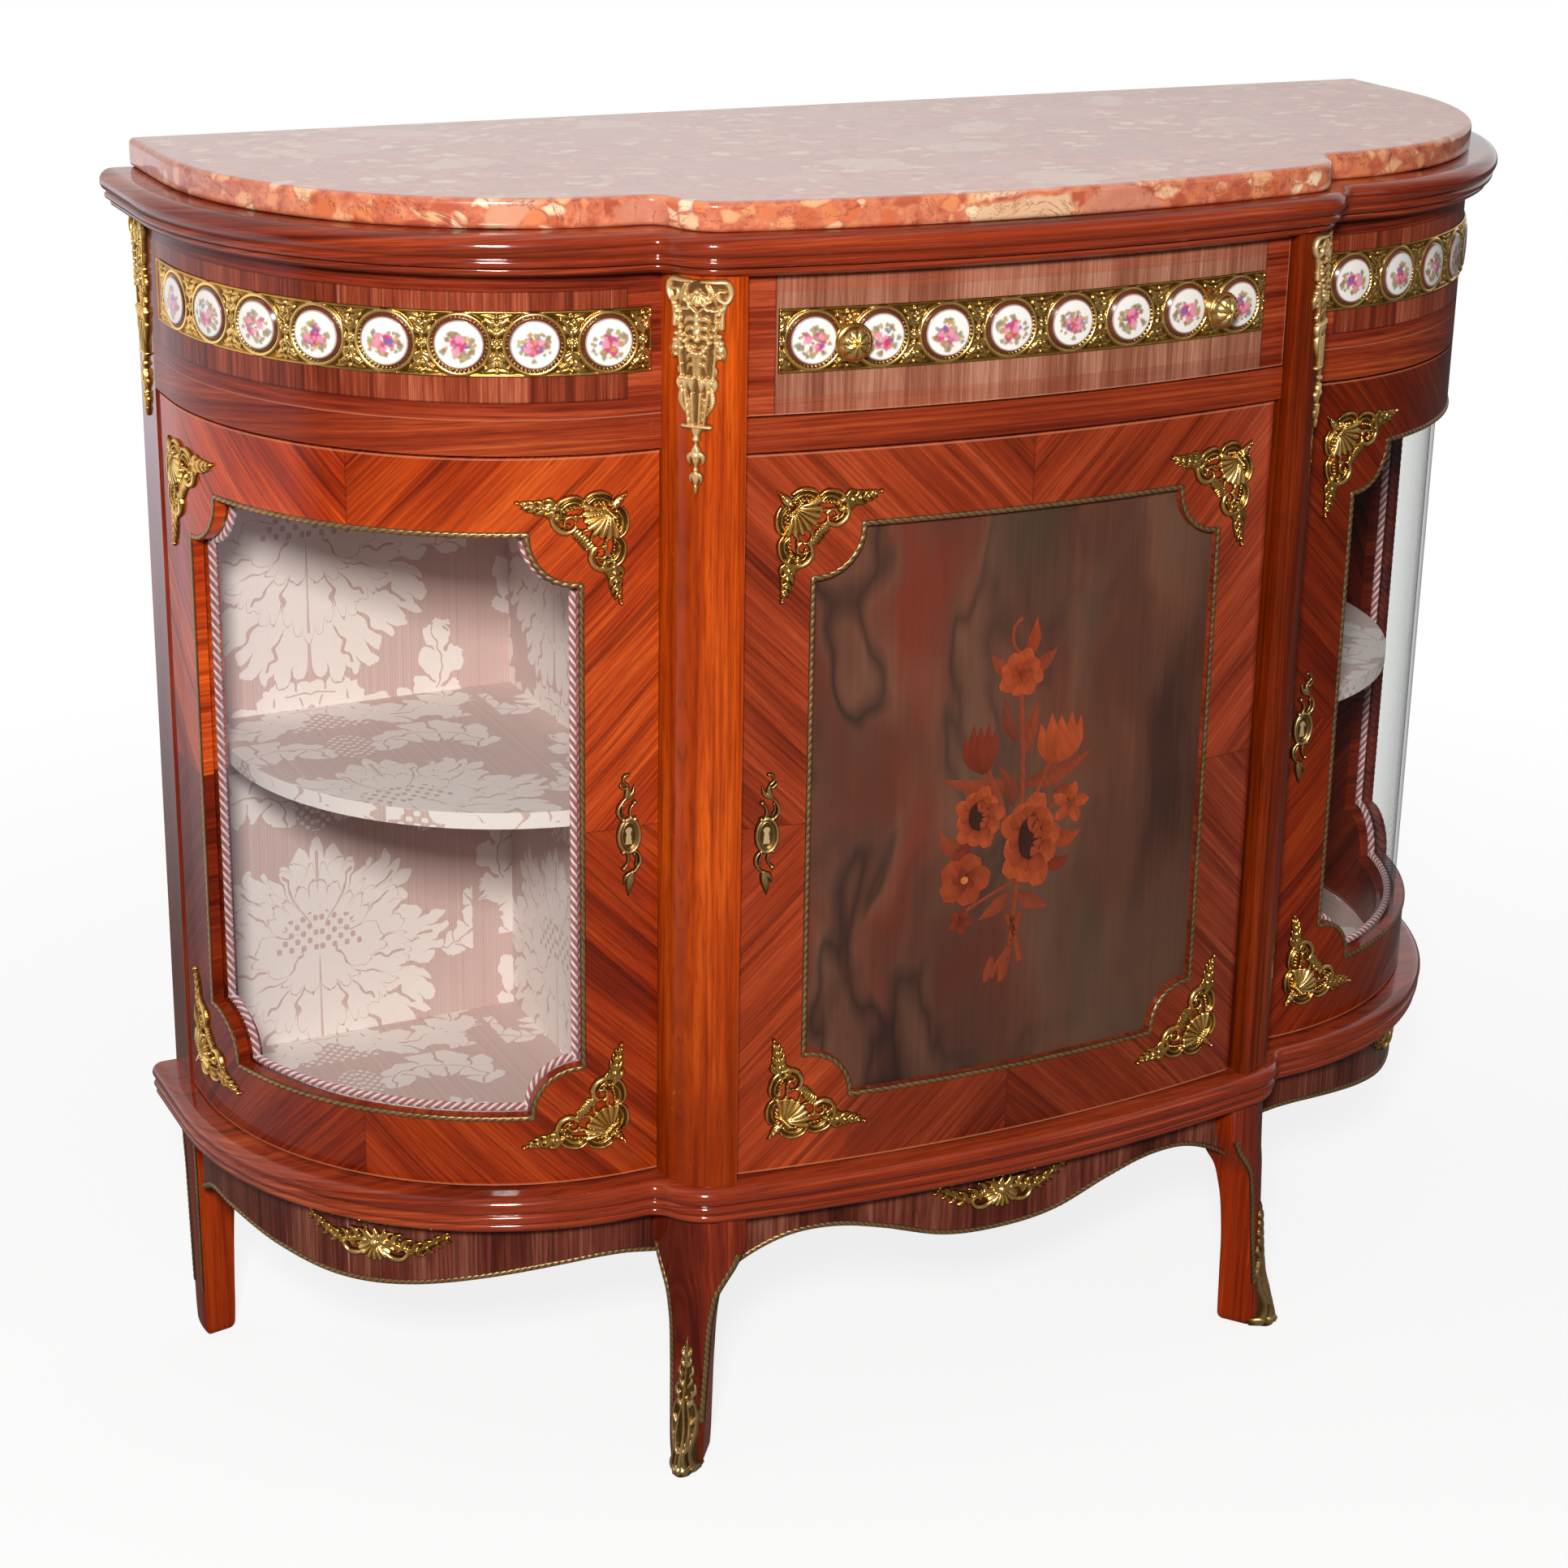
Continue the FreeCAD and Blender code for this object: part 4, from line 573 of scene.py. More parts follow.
# Legs at ten heights: width w, reach r from the leg's own zero, hollow b of the face from middle to edge, and the
# place of the back.
LEVELS = np.array([0, 14, 45, 85, 125, 143, 152, 162, 176, 200.0])
FRONT = dict(w=72 * np.array([0.32, 0.355, 0.39, 0.43, 0.50, 0.60, 0.72, 0.86, 0.985, 1.0]),
             r=38 * np.array([1.53, 1.48, 1.25, 1.13, 1.08, 1.053, 1.026, 1.013, 1.0, 0.987]),
             b=17 * np.array([0.95, 0.80, 0.37, 0.29, 0.32, 0.38, 0.53, 0.765, 0.94, 1.0]),
             back=np.array([15.0, 14.8, 14.4, 13.5, 8.8, 4.1, -0.6, -4.3, -7.1, -8.5]))
BACK_LEG = dict(w=34.5 * np.array([0.70, 0.75, 0.78, 0.84, 0.90, 0.93, 0.96, 0.985, 1.0, 1.0]),
                r=518 * np.array([0.992, 0.993, 0.994, 0.995, 0.996, 0.9965, 0.997, 0.9975, 0.998, 0.9981]),
                b=np.ones(10),
                back=514.0 - 34 * np.array([0.72, 0.74, 0.76, 0.79, 0.85, 0.88, 0.91, 0.94, 0.97, 1.0]))


def smooth(xs, ys, x):
    """Cubic curve through the points, with slopes taken from their neighbours."""
    xs, ys = np.asarray(xs, float), np.asarray(ys, float)
    slope = np.gradient(ys, xs)
    i = np.clip(np.searchsorted(xs, x) - 1, 0, len(xs) - 2)
    gap = xs[i + 1] - xs[i]
    t = np.clip((x - xs[i]) / gap, 0.0, 1.0)
    return ((2 * t ** 3 - 3 * t ** 2 + 1) * ys[i] + (t ** 3 - 2 * t ** 2 + t) * gap * slope[i]
            + (3 * t ** 2 - 2 * t ** 3) * ys[i + 1] + (t ** 3 - t ** 2) * gap * slope[i + 1])


def leg_row(leg, side, reach, a, z):
    """Points of a leg: a front leg looks out at 45 degrees, a back leg sideways."""
    if leg is FRONT:
        return row(side * (COLUMN_X + (reach + a) * DIAGONAL), COLUMN_D + (reach - a) * DIAGONAL, z)
    return row(side * reach, STILE_D - a, z)


def leg_face(leg):
    """The outer face of a leg as a surface: its reach, less the hollow by the square of the way to the edge."""
    def surface(a, z, h=0.0, side=1):
        """A point of the face: a across, z up, h out from it."""
        width = smooth(LEVELS, leg["w"], z)
        reach = smooth(LEVELS, leg["r"], z) - smooth(LEVELS, leg["b"], z) * (2 * a / width) ** 2 + h
        return leg_row(leg, side, reach, a, z)
    return surface


def set_back(surface):
    """The same surface, 2 mm further in."""
    return lambda a, z, h=0.0, side=1: surface(a, z, h - 2.0, side)


# ---------------------------------------------------------------- mesh helpers
def placed(name, data):
    """A new object in the scene."""
    obj = bpy.data.objects.new(name, data)
    scene.collection.objects.link(obj)
    return obj


class Build:
    """Gathers grids of points into one object."""
    def __init__(self):
        self.verts, self.faces, self.marks, self.paint = [], [], [], []
        self.count = 0

    def add(self, verts, faces, mark=None, paint=None):
        """Points and faces behind those that are there."""
        verts = np.asarray(verts, float).reshape(-1, 3)
        self.verts.append(verts)
        self.faces.append(np.asarray(faces) + self.count)
        self.marks.append(np.ones(len(verts)) if mark is None else np.broadcast_to(mark, (len(verts),)))
        if paint is not None:
            self.paint.append(paint)
        self.count += len(verts)

    def grid(self, points, mark=None, closed=(False, False), flip=False, paint=None):
        """A grid of points as quads, closed along its rows or columns where asked, turned round by flip."""
        r, c = points.shape[:2]
        index = np.arange(r * c).reshape(r, c)
        if closed[0]:
            index = np.vstack([index, index[:1]])
        if closed[1]:
            index = np.hstack([index, index[:, :1]])
        quads = np.stack([index[:-1, :-1], index[:-1, 1:], index[1:, 1:], index[1:, :-1]], -1).reshape(-1, 4)
        if flip:
            quads = quads[:, ::-1]
        self.add(points, quads, None if mark is None else np.asarray(mark).ravel(), paint)

    def make(self, name, mat, body, slot, *stands_for):
        """The gathered points as one object with its material, that moves with a body."""
        mesh = bpy.data.meshes.new(name)
        verts = np.concatenate(self.verts)
        mesh.from_pydata(verts.tolist(), [], np.concatenate(self.faces).tolist())
        mesh.polygons.foreach_set("use_smooth", np.ones(len(mesh.polygons), bool))
        mark = mesh.attributes.new("relief", "FLOAT", "POINT")
        mark.data.foreach_set("value", np.concatenate(self.marks).astype(np.float32))
        if self.paint:
            layer = mesh.color_attributes.new("paint", "FLOAT_COLOR", "POINT")
            layer.data.foreach_set("color", np.concatenate(self.paint).astype(np.float32).ravel())
        mesh.materials.append(mat)
        mesh.update()
        obj = placed(name, mesh)
        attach(obj, body)
        if stands_for:
            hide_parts(*stands_for)


def arc_length(p, least=0.0):
    """How far along a line each of its points is."""
    return np.concatenate([[0], np.cumsum(np.hypot(*np.diff(p, axis=0).T) + least)])


def curve(points, per=6):
    """A smooth line through the points."""
    p = np.asarray(points, float)
    s = arc_length(p, 1e-9)
    t = np.linspace(0, s[-1], (len(p) - 1) * per + 1)
    return np.stack([smooth(s, p[:, 0], t), smooth(s, p[:, 1], t)], 1)


MIRRORED = ((1, 1), (-1, 1))


class Relief:
    """A height field over a rectangle, in millimetres. Strokes raise it where they are higher than what is there;
    "swap", "scale" and "shift" place the points of the strokes that follow."""
    swap, scale, shift = False, (1, 1), (0, 0)

    def __init__(self, x0, x1, y0, y1, cell=0.5):
        self.cell = cell
        self.x = np.arange(x0, x1 + cell / 2, cell)
        self.y = np.arange(y0, y1 + cell / 2, cell)
        self.X, self.Y = np.meshgrid(self.x, self.y)
        self.H = np.full(self.X.shape, -1.0)

    def put(self, points):
        """Points of a stroke, turned over, mirrored and moved."""
        p = np.asarray(points, float)
        return (p[:, ::-1] if self.swap else p) * self.scale + self.shift

    def window(self, cx, cy, r):
        """The part of the field about a place."""
        def span(c, first):
            """The cells from r before to r behind the place, along one axis."""
            low, high = (int((c + way * r - first) / self.cell) for way in (-1, 1))
            return slice(max(low, 0), max(high + 2, 0))
        return span(cy, self.y[0]), span(cx, self.x[0])

    def stroke(self, pts, w, h, groove=0.0):
        """A half-round stroke; w and h are end values or lists along the line, and a groove hollows its middle."""
        s = np.linspace(0, 1, len(pts))
        w, h = (np.interp(s, np.linspace(0, 1, np.size(v)), np.atleast_1d(v)) for v in (w, h))
        for k in range(len(pts) - 1):
            a, b = pts[k], pts[k + 1]
            ab = b - a
            win = self.window(*(a + b) / 2, max(w[k], w[k + 1]) + np.hypot(*ab) / 2 + self.cell)
            X, Y = self.X[win] - a[0], self.Y[win] - a[1]
            if X.size == 0:
                continue
            t = np.clip((X * ab[0] + Y * ab[1]) / (ab @ ab + 1e-9), 0, 1)
            d = np.hypot(X - t * ab[0], Y - t * ab[1]) / (w[k] + t * (w[k + 1] - w[k]) + 1e-6)
            top = (h[k] + t * (h[k + 1] - h[k])) * np.sqrt(np.clip(1 - d * d, 0, 1))
            if groove:
                top = top * (1 - groove * np.exp(-(d / 0.28) ** 2))
            self.H[win] = np.maximum(self.H[win], np.where(d < 1, top, -1.0))

    def line(self, points, w, h):
        """Straight strokes from point to point."""
        self.stroke(self.put(points), w, h)

    def scroll(self, points, w, h, groove=0.0):
        """A stroke along the smooth line through the points."""
        self.stroke(self.put(curve(points)), w, h, groove)

    def leaf(self, points, w, h, groove=0.35):
        """A pointed leaf along a line, widest a third of the way."""
        self.stroke(curve(self.put(points)), w * np.array([0.35, 0.9, 1.0, 0.8, 0.5, 0.12]),
                    h * np.array([1.0, 1.0, 0.8, 0.5]), groove)

    def bead(self, x, y, r, h):
        """Half a ball, flattened to its height."""
        (cx, cy), = self.put([(x, y)])
        win = self.window(cx, cy, r)
        d = np.hypot(self.X[win] - cx, self.Y[win] - cy) / r
        self.H[win] = np.maximum(self.H[win], np.where(d < 1, h * np.sqrt(np.clip(1 - d * d, 0, 1)), -1.0))

    def plate(self, mask, h):
        """A flat plate where the mask is."""
        self.H = np.maximum(self.H, np.where(mask, h, -1.0))

    def shell(self, cx, cy, r, a0, a1, n, h, inner=0.15):
        """A fluted fan between two angles in degrees."""
        dx, dy = self.X - cx, self.Y - cy
        d = np.hypot(dx, dy) / r
        t = (np.degrees(np.arctan2(dy, dx)) - a0) % 360
        span = a1 - a0
        flute = np.abs(np.sin(np.clip(t / span, 0, 1) * n * math.pi))
        edge = 0.9 + 0.1 * flute
        rise = (0.2 + 0.8 * flute ** 0.7) * (0.35 + 0.65 * np.sin(np.clip(d / edge, 0, 1) * 2.2))
        inside = (t <= span) & (d < edge) & (d > inner)
        self.H = np.maximum(self.H, np.where(inside, h * rise, -1.0))

    def cut(self, cx, cy, r):
        """A round hole."""
        self.H[np.hypot(self.X - cx, self.Y - cy) < r] = -1.0

    def lay(self, build, surface, a0, z0, fx=1, fz=1, side=1, sink=0.3, age=0.0):
        """The raised cells laid on a surface from a place, with their rims sunk in; the mark is the height's share
        and the age of the gilt."""
        H = self.H
        up = H > 0
        near = [(slice(i, i - 1 or None), slice(j, j - 1 or None)) for i in (0, 1) for j in (0, 1)]
        cell = np.any([up[part] for part in near], 0)
        used = np.zeros_like(up)
        for part in near:
            used[part] |= cell
        index = np.full(H.shape, -1)
        index[used] = np.arange(used.sum())
        X, Y, Z = self.X[used], self.Y[used], H[used]
        verts = surface(a0 + fx * X, z0 + fz * Y, np.where(Z > 0, Z, -sink), side)
        i, j = np.nonzero(cell)
        quads = np.stack([index[i, j], index[i, j + 1], index[i + 1, j + 1], index[i + 1, j]], 1)
        if fx * fz * side < 0:
            quads = quads[:, ::-1]
        build.add(verts, quads, np.clip(Z / H.max(), 0, 1) + age)


def ribbon(build, surface, path, half, rise, pitch=5.0, closed=False, side=1):
    """A narrow strip with a twisted-leaf pattern along a line (a, z) on a surface: a dome across it, times the sine
    of a slanting twist."""
    p = np.asarray(path, float)
    if closed:
        p = np.vstack([p, p[:1]])
    rows, step, sink = 7, 0.8, 0.3
    length = arc_length(p)
    n = max(int(length[-1] / step), 4)
    s = np.linspace(0, length[-1], n, endpoint=not closed)
    c = np.stack([np.interp(s, length, p[:, 0]), np.interp(s, length, p[:, 1])], 1)
    if closed:
        tangent = np.roll(c, -1, 0) - np.roll(c, 1, 0)
    else:
        tangent = np.gradient(c, axis=0)
    tangent /= np.hypot(tangent[:, 0], tangent[:, 1])[:, None] + 1e-9
    v = np.linspace(-1, 1, rows)
    normal = np.stack([-tangent[:, 1], tangent[:, 0]], 1)
    a = c[:, None, 0] + normal[:, None, 0] * v[None] * half
    z = c[:, None, 1] + normal[:, None, 1] * v[None] * half
    twist = np.abs(np.sin(math.pi * (s[:, None] / pitch + v[None] * 0.42)))
    dome = np.sqrt(np.clip(1 - (v * 0.96) ** 2, 0, 1))
    h = rise * dome[None] * (0.45 + 0.55 * twist ** 0.8)
    h[:, 0] = h[:, -1] = -sink
    build.grid(surface(a, z, h, side), np.clip(h / rise, 0, 1), closed=(closed, False), flip=side > 0)


def opening(grow, a0, a1):
    """The line of an opening with hollow corners, anticlockwise from low left."""
    r = 36.0 - grow
    z0, z1 = OPENING_Z
    lean = math.degrees(math.copysign(math.asin(min(abs(grow), r) / r), grow))
    points = []
    for ca, cz, start in ((a0, z0, 90), (a1, z0, 180), (a1, z1, 270), (a0, z1, 0)):
        angles = np.radians(np.linspace(start + lean, start - 90 - lean, 14))
        points.append(np.stack([ca + r * np.cos(angles), cz + r * np.sin(angles)], 1))
    return np.concatenate(points)


# ---------------------------------------------------------------- mouldings
def outline(out, corner_r):
    """Plan line of half a moulding, from the middle of the bow to the back, with its outward direction: the bow's
    arc, the round corner of the pilaster, a small cove and the wing's arc, each touching the next."""
    cove_r = 15.0
    wc, bc = np.array([WING_X, WING_D]), np.array([0.0, BOW_D])
    rw, rb = WING_R + out, BOW_R + out
    reach = rb - corner_r
    corner = np.array([221.0, BOW_D + math.sqrt(reach ** 2 - 221.0 ** 2)])
    r0, r1 = corner_r + cove_r, rw + cove_r
    gap = wc - corner
    span = np.hypot(*gap)
    along = (r0 ** 2 - r1 ** 2 + span ** 2) / (2 * span)
    across = math.sqrt(r0 ** 2 - along ** 2)
    e = gap / span
    options = [corner + e * along + np.array([-e[1], e[0]]) * k for k in (across, -across)]
    cove = max(options, key=lambda c: c[1])

    def angle(frm, to):
        """Direction from one point to another."""
        return math.atan2(to[1] - frm[1], to[0] - frm[0])

    a_join, a_corner, a_cove = angle(bc, corner), angle(corner, cove), angle(cove, wc)
    parts = [(bc, rb, math.pi / 2, a_join, 1), (corner, corner_r, a_join, a_corner, 1),
             (cove, cove_r, a_corner + math.pi, a_cove + 2 * math.pi, -1), (wc, rw, a_cove + math.pi, 0.0, 1)]
    points, ways = [], []
    for k, (c, r, s, e_, sense) in enumerate(parts):
        n = max(int(abs(e_ - s) * r / (3.0 if r > 60 else 1.5)), 6)
        t = np.linspace(s, e_, n)[(1 if k else 0):]
        ray = np.stack([np.cos(t), np.sin(t)], 1)
        points.append(c + r * ray)
        ways.append(sense * ray)
    n = 12
    points.append(np.stack([np.full(n, WING_X + rw), np.linspace(WING_D, 0, n + 1)[1:]], 1))
    ways.append(np.tile([1.0, 0.0], (n, 1)))
    p, w = np.concatenate(points), np.concatenate(ways)
    mirror = np.array([-1.0, 1.0])
    return np.vstack([(p[1:] * mirror)[::-1], p]), np.vstack([(w[1:] * mirror)[::-1], w])


def roll(z_top, z_low, out, bulge):
    """One bead of a moulding as inset and height, from the top down."""
    t = np.linspace(0, math.pi, 9)
    return list(zip(out - bulge * np.sin(t), (z_top + z_low) / 2 + (z_top - z_low) / 2 * np.cos(t)))


def nosing(r, z, rise, end):
    """Rounded upper edge of a moulding as inset and height, from the top down."""
    return [(r * (1 - math.sin(t)), z + rise * math.cos(t)) for t in np.linspace(0.15, end, 12)]


def moulding(name, path, ways, profile, node):
    """A profile carried along the plan line, with its two back ends closed."""
    profile = np.asarray(profile)
    p = path[:, None] - ways[:, None] * profile[None, :, :1]
    points = row(p[..., 0], p[..., 1], np.broadcast_to(profile[None, :, 1], p.shape[:2]))
    b = Build()
    b.grid(points)
    for end, flip in ((0, True), (-1, False)):
        back = points[end]
        low = back.copy()
        for k in (2, 0):
            low[:, k] = back[0, k] + (back[-1, k] - back[0, k]) * np.linspace(0, 1, len(back))
        b.grid(np.stack([back, low]), flip=flip)
    b.make(name, MAT["moulding"], "carcase", "moulding", node)


# ---------------------------------------------------------------- materials of the piece
MAT = {
    "marble": breccia(),
    "moulding": straight_wood("moulding_wood", MOULDING, 1.0, False, broad=60.0, curved=True, rough=0.25, weight=0.9),
    "carcase_wood": straight_wood("carcase_wood", LEG, 2.0),
    "drawer_wood": straight_wood("drawer_wood", DRAWER_WOOD, 3.0, False, rough=0.5),
    # The left pilaster, with painted shade towards its foot.
    "pilaster": straight_wood("pilaster_wood", ORANGE, 4.0, broad=70.0, low=0.45),
    # The right pilaster: the same wood made darker, as painted shade.
    "pilaster_painted_shade": straight_wood("pilaster_wood_painted_shade", PAINTED_SHADE_ORANGE, 4.6, broad=70.0),
    "rail": straight_wood("rail_wood", RAIL, 5.0, False, curved=True),
    "frieze": framed_wood("frieze_wood", ROSE, 6.0, 0.2255, 0.785, 0.882, 0.2215, True, 0.8),
    "drawer_front": framed_wood("drawer_rosewood", ROSEWOOD, 7.0, 0.214, 0.7865, 0.8805, 0.0, False, 0.9),
    "apron": straight_wood("apron_wood", APRON, 8.0, streaks=(rgb(196, 158, 132), 0.95), broad=30.0, curved=True,
                           wave=0.002),
    "leg": leg_wood("leg_wood"),
    "stile": leg_wood("stile_wood", 1.0, 1.9),
    "door_wing": door_veneer("door_veneer_wing", RED, 11.0, True),
    "door_centre": door_veneer("door_veneer_centre", CENTRE_RED, 12.0, False),
    "panel": panel_veneer(),
    "inlay": inlay(),
    "gilt": gilt(),
    "strip_brass": strip_brass(),
    "bolt_brass": bolt_brass(),
    "porcelain": china(),
    "fabric": damask("damask", rgb(203, 167, 161), rgb(241, 232, 228)),
    "glass": clear_glass(),
    "rope": rope_cloth(),
}
MADE_OF = {
    "marble": ("marble_top",),
    "moulding": ("cornice", "base_moulding"),
    "carcase_wood": ("top_board", "bottom_board", "back_panel", "partition_left", "partition_right", "shelf_centre"),
    "pilaster": ("pilaster_left",),
    "pilaster_painted_shade": ("pilaster_right",),
    "stile": ("stile_left", "stile_right"),
    "frieze": ("frieze_left", "frieze_right"),
    "rail": ("rail_left", "rail_centre", "rail_right"),
    "apron": ("apron_left", "apron_centre", "apron_right"),
    "leg": ("leg_front_left", "leg_front_right", "leg_back_left", "leg_back_right"),
    "fabric": ("lining_left", "lining_right", "shelf_left", "shelf_right"),
    "bolt_brass": ("shelf_pins", "pivot_pins", "bolt_left", "bolt_right", "bolt_centre"),
    "drawer_front": ("drawer_front",),
    "drawer_wood": ("drawer_sides", "drawer_back", "drawer_bottom"),
    "door_wing": ("door_left_frame", "door_right_frame"),
    "door_centre": ("door_centre_frame",),
    "panel": ("door_centre_panel",),
    "glass": ("door_left_glass", "door_right_glass"),
}
for key, nodes in MADE_OF.items():
    for node in nodes:
        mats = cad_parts[node].data.materials
        if len(mats) == 0:
            mats.append(MAT[key])
        for i in range(len(mats)):
            mats[i] = MAT[key]

# ---------------------------------------------------------------- cornice and base moulding
cornice = [(40.0, 910.0), (9.0, 910.0)] + nosing(9.0, 901.5, 8.5, 2.3) + roll(894.6, 888.6, 5.5, 2.6)
cornice += roll(888.4, 883.6, 9.0, 2.0) + [(11.0, 882.0), (24.0, 881.8), (40.0, 882.0)]
moulding("cornice_moulding", *outline(22.0, 49.0), cornice, "cornice")
base = [(36.0, 228.0), (8.0, 228.0)] + nosing(8.0, 220.5, 7.5, 2.4) + roll(214.6, 207.6, 3.4, 2.6)
base += roll(207.4, 201.4, 4.8, 2.4) + [(6.0, 200.0), (20.0, 200.0), (36.0, 200.0)]
moulding("base_beads", *outline(19.0, 46.0), base, "base_moulding")

# ---------------------------------------------------------------- legs
def eased(points):
    """A closed plan line with each of its corners cut off by a hair, so that it shades crisply."""
    out = []
    for k, (corner, p) in enumerate(points):
        if not corner:
            out.append(p)
            continue
        for other, cuts in ((points[k - 1][1], (1.5, 0.4)), (points[(k + 1) % len(points)][1], (0.4, 1.5))):
            way = (other - p) / np.hypot(*(other - p))
            out += [p + way * cut for cut in cuts]
    return np.array(out)


def leg_wood_piece(name, leg, side):
    """A leg with a straight back and a foot that rounds off below: a ring of points at each height, the front a
    hollow arc, and a fan of quads to close each end."""
    foot, trim = 7.0, 6.0
    rows = []
    for z in np.concatenate([foot - foot * np.cos(np.linspace(0, math.pi / 2, 8)), np.linspace(9.0, 200.0, 80)]):
        cut = trim * (1 - math.sqrt(1 - max(1 - z / foot, 0.0) ** 2))
        w, r, b, back = (smooth(LEVELS, leg[part], z) for part in ("w", "r", "b", "back"))
        w, r, back = w - 1.6 * cut, r - cut, back + cut
        front = [(k in (0, 13), np.array([w * (k / 13 - 0.5), r - b * (k / 6.5 - 1) ** 2])) for k in range(14)]
        ring = eased(front + [(True, np.array([w / 3, back])), (True, np.array([-w / 3, back]))])
        rows.append(leg_row(leg, side, ring[:, 1], ring[:, 0], z))
    points = np.stack(rows)
    n = points.shape[1]
    k = np.arange(0, n, 2)
    b = Build()
    b.grid(points, closed=(False, True), flip=side < 0)
    for end, first, above in ((points[-1], -n, True), (points[0], -len(rows) * n - 1, False)):
        cap = np.stack([np.zeros_like(k), first + k, first + k + 1, first + (k + 2) % n], 1)
        b.add(end.mean(0), cap if above == (side > 0) else cap[:, ::-1])
    b.make(name, MAT["leg"], "carcase", "leg_wood", name.replace("wood_", ""))


for side, hand in SIDES:
    leg_wood_piece("wood_leg_front_" + hand, FRONT, side)
    leg_wood_piece("wood_leg_back_" + hand, BACK_LEG, side)

# ---------------------------------------------------------------- edgings
WING_A = (WING_R * math.radians(90 - 80.2), WING_R * math.radians(90 - 7.5))
BOW_A = (-161.46, 161.46)
STRIP = (2.1, 1.3)  # half width and rise of the brass strips
for name, surface, spans, side in (("left", wing, WING_A, -1), ("right", wing, WING_A, 1), ("centre", bow, BOW_A, 1)):
    b = Build()
    ribbon(b, surface, opening(2.0, *spans), *STRIP, pitch=6.0, closed=True, side=side)
    b.make("edging_" + name, MAT["strip_brass"], "door_" + name, "dull_brass", "door_%s_edging" % name)

b = Build()
across = WING_R * np.array([-0.76, -0.673, -0.522, -0.306, -0.082, 0.122, 0.347, 0.571, 0.702, 0.76])
lower = 200 * np.array([0.80, 0.825, 0.815, 0.77, 0.725, 0.7125, 0.745, 0.78, 0.765, 0.71])
q = np.linspace(across[0], across[-1], 120)
wing_edge = np.stack([WING_R * (math.pi / 4 + np.arcsin(q / 243.0)), smooth(across, lower, q) + 2.0], 1)
half = 215 * np.array([0.0, 0.2326, 0.428, 0.651, 0.814, 0.9535, 1.079])
rise = 200 * np.array([0.74, 0.7625, 0.83, 0.88, 0.865, 0.80, 0.70])
q = np.linspace(-216.0, 216.0, 150)
across, lower = np.concatenate([-half[:0:-1], half]), np.concatenate([rise[:0:-1], rise])
bow_edge = np.stack([q, smooth(across, lower, q) + 2.0], 1)
ribbon(b, set_back(bow), bow_edge, *STRIP)
for side in (-1, 1):
    ribbon(b, set_back(wing), wing_edge, *STRIP, side=side)
    for leg in (FRONT, BACK_LEG):
        z = np.linspace(40.0, 172.0, 60)
        edge = smooth(LEVELS, leg["w"], z) / 2 - 2.2
        for hand in (-1, 1):
            ribbon(b, leg_face(leg), np.stack([hand * edge, z], 1), *STRIP, side=side)
b.make("edging_carcase", MAT["strip_brass"], "carcase", "dull_brass", "gilt_edging")

# ---------------------------------------------------------------- rope trim
for side, name in SIDES:
    line = opening(-1.0, *WING_A)
    line = np.vstack([line, line[:1]])
    s = arc_length(line)
    t = np.linspace(0, s[-1], int(s[-1] / 0.9), endpoint=False)
    ca, cz = np.interp(t, s, line[:, 0]), np.interp(t, s, line[:, 1])
    ta, tz = np.roll(ca, -1) - np.roll(ca, 1), np.roll(cz, -1) - np.roll(cz, 1)
    size = np.hypot(ta, tz)
    na, nz = -tz / size, ta / size
    turns, thick, strand_r = round(s[-1] / 14.0), 1.75, 1.3
    ring = np.linspace(0, 2 * math.pi, 8)[:-1]
    b = Build()
    for strand in range(4):
        lay = 2 * math.pi * (turns * t / s[-1] + strand / 4)
        dn = thick * np.cos(lay)[:, None] + strand_r * np.cos(ring)[None]
        dh = thick * np.sin(lay)[:, None] + strand_r * np.sin(ring)[None]
        points = wing(ca[:, None] + na[:, None] * dn, cz[:, None] + nz[:, None] * dn, dh - 14.0, side)
        b.grid(points, np.full(points.shape[:2], (0.0, 1.0)[strand % 2]), closed=(True, True), flip=side > 0)
    b.make("rope_" + name, MAT["rope"], "door_" + name, "rope", "door_%s_rope" % name)

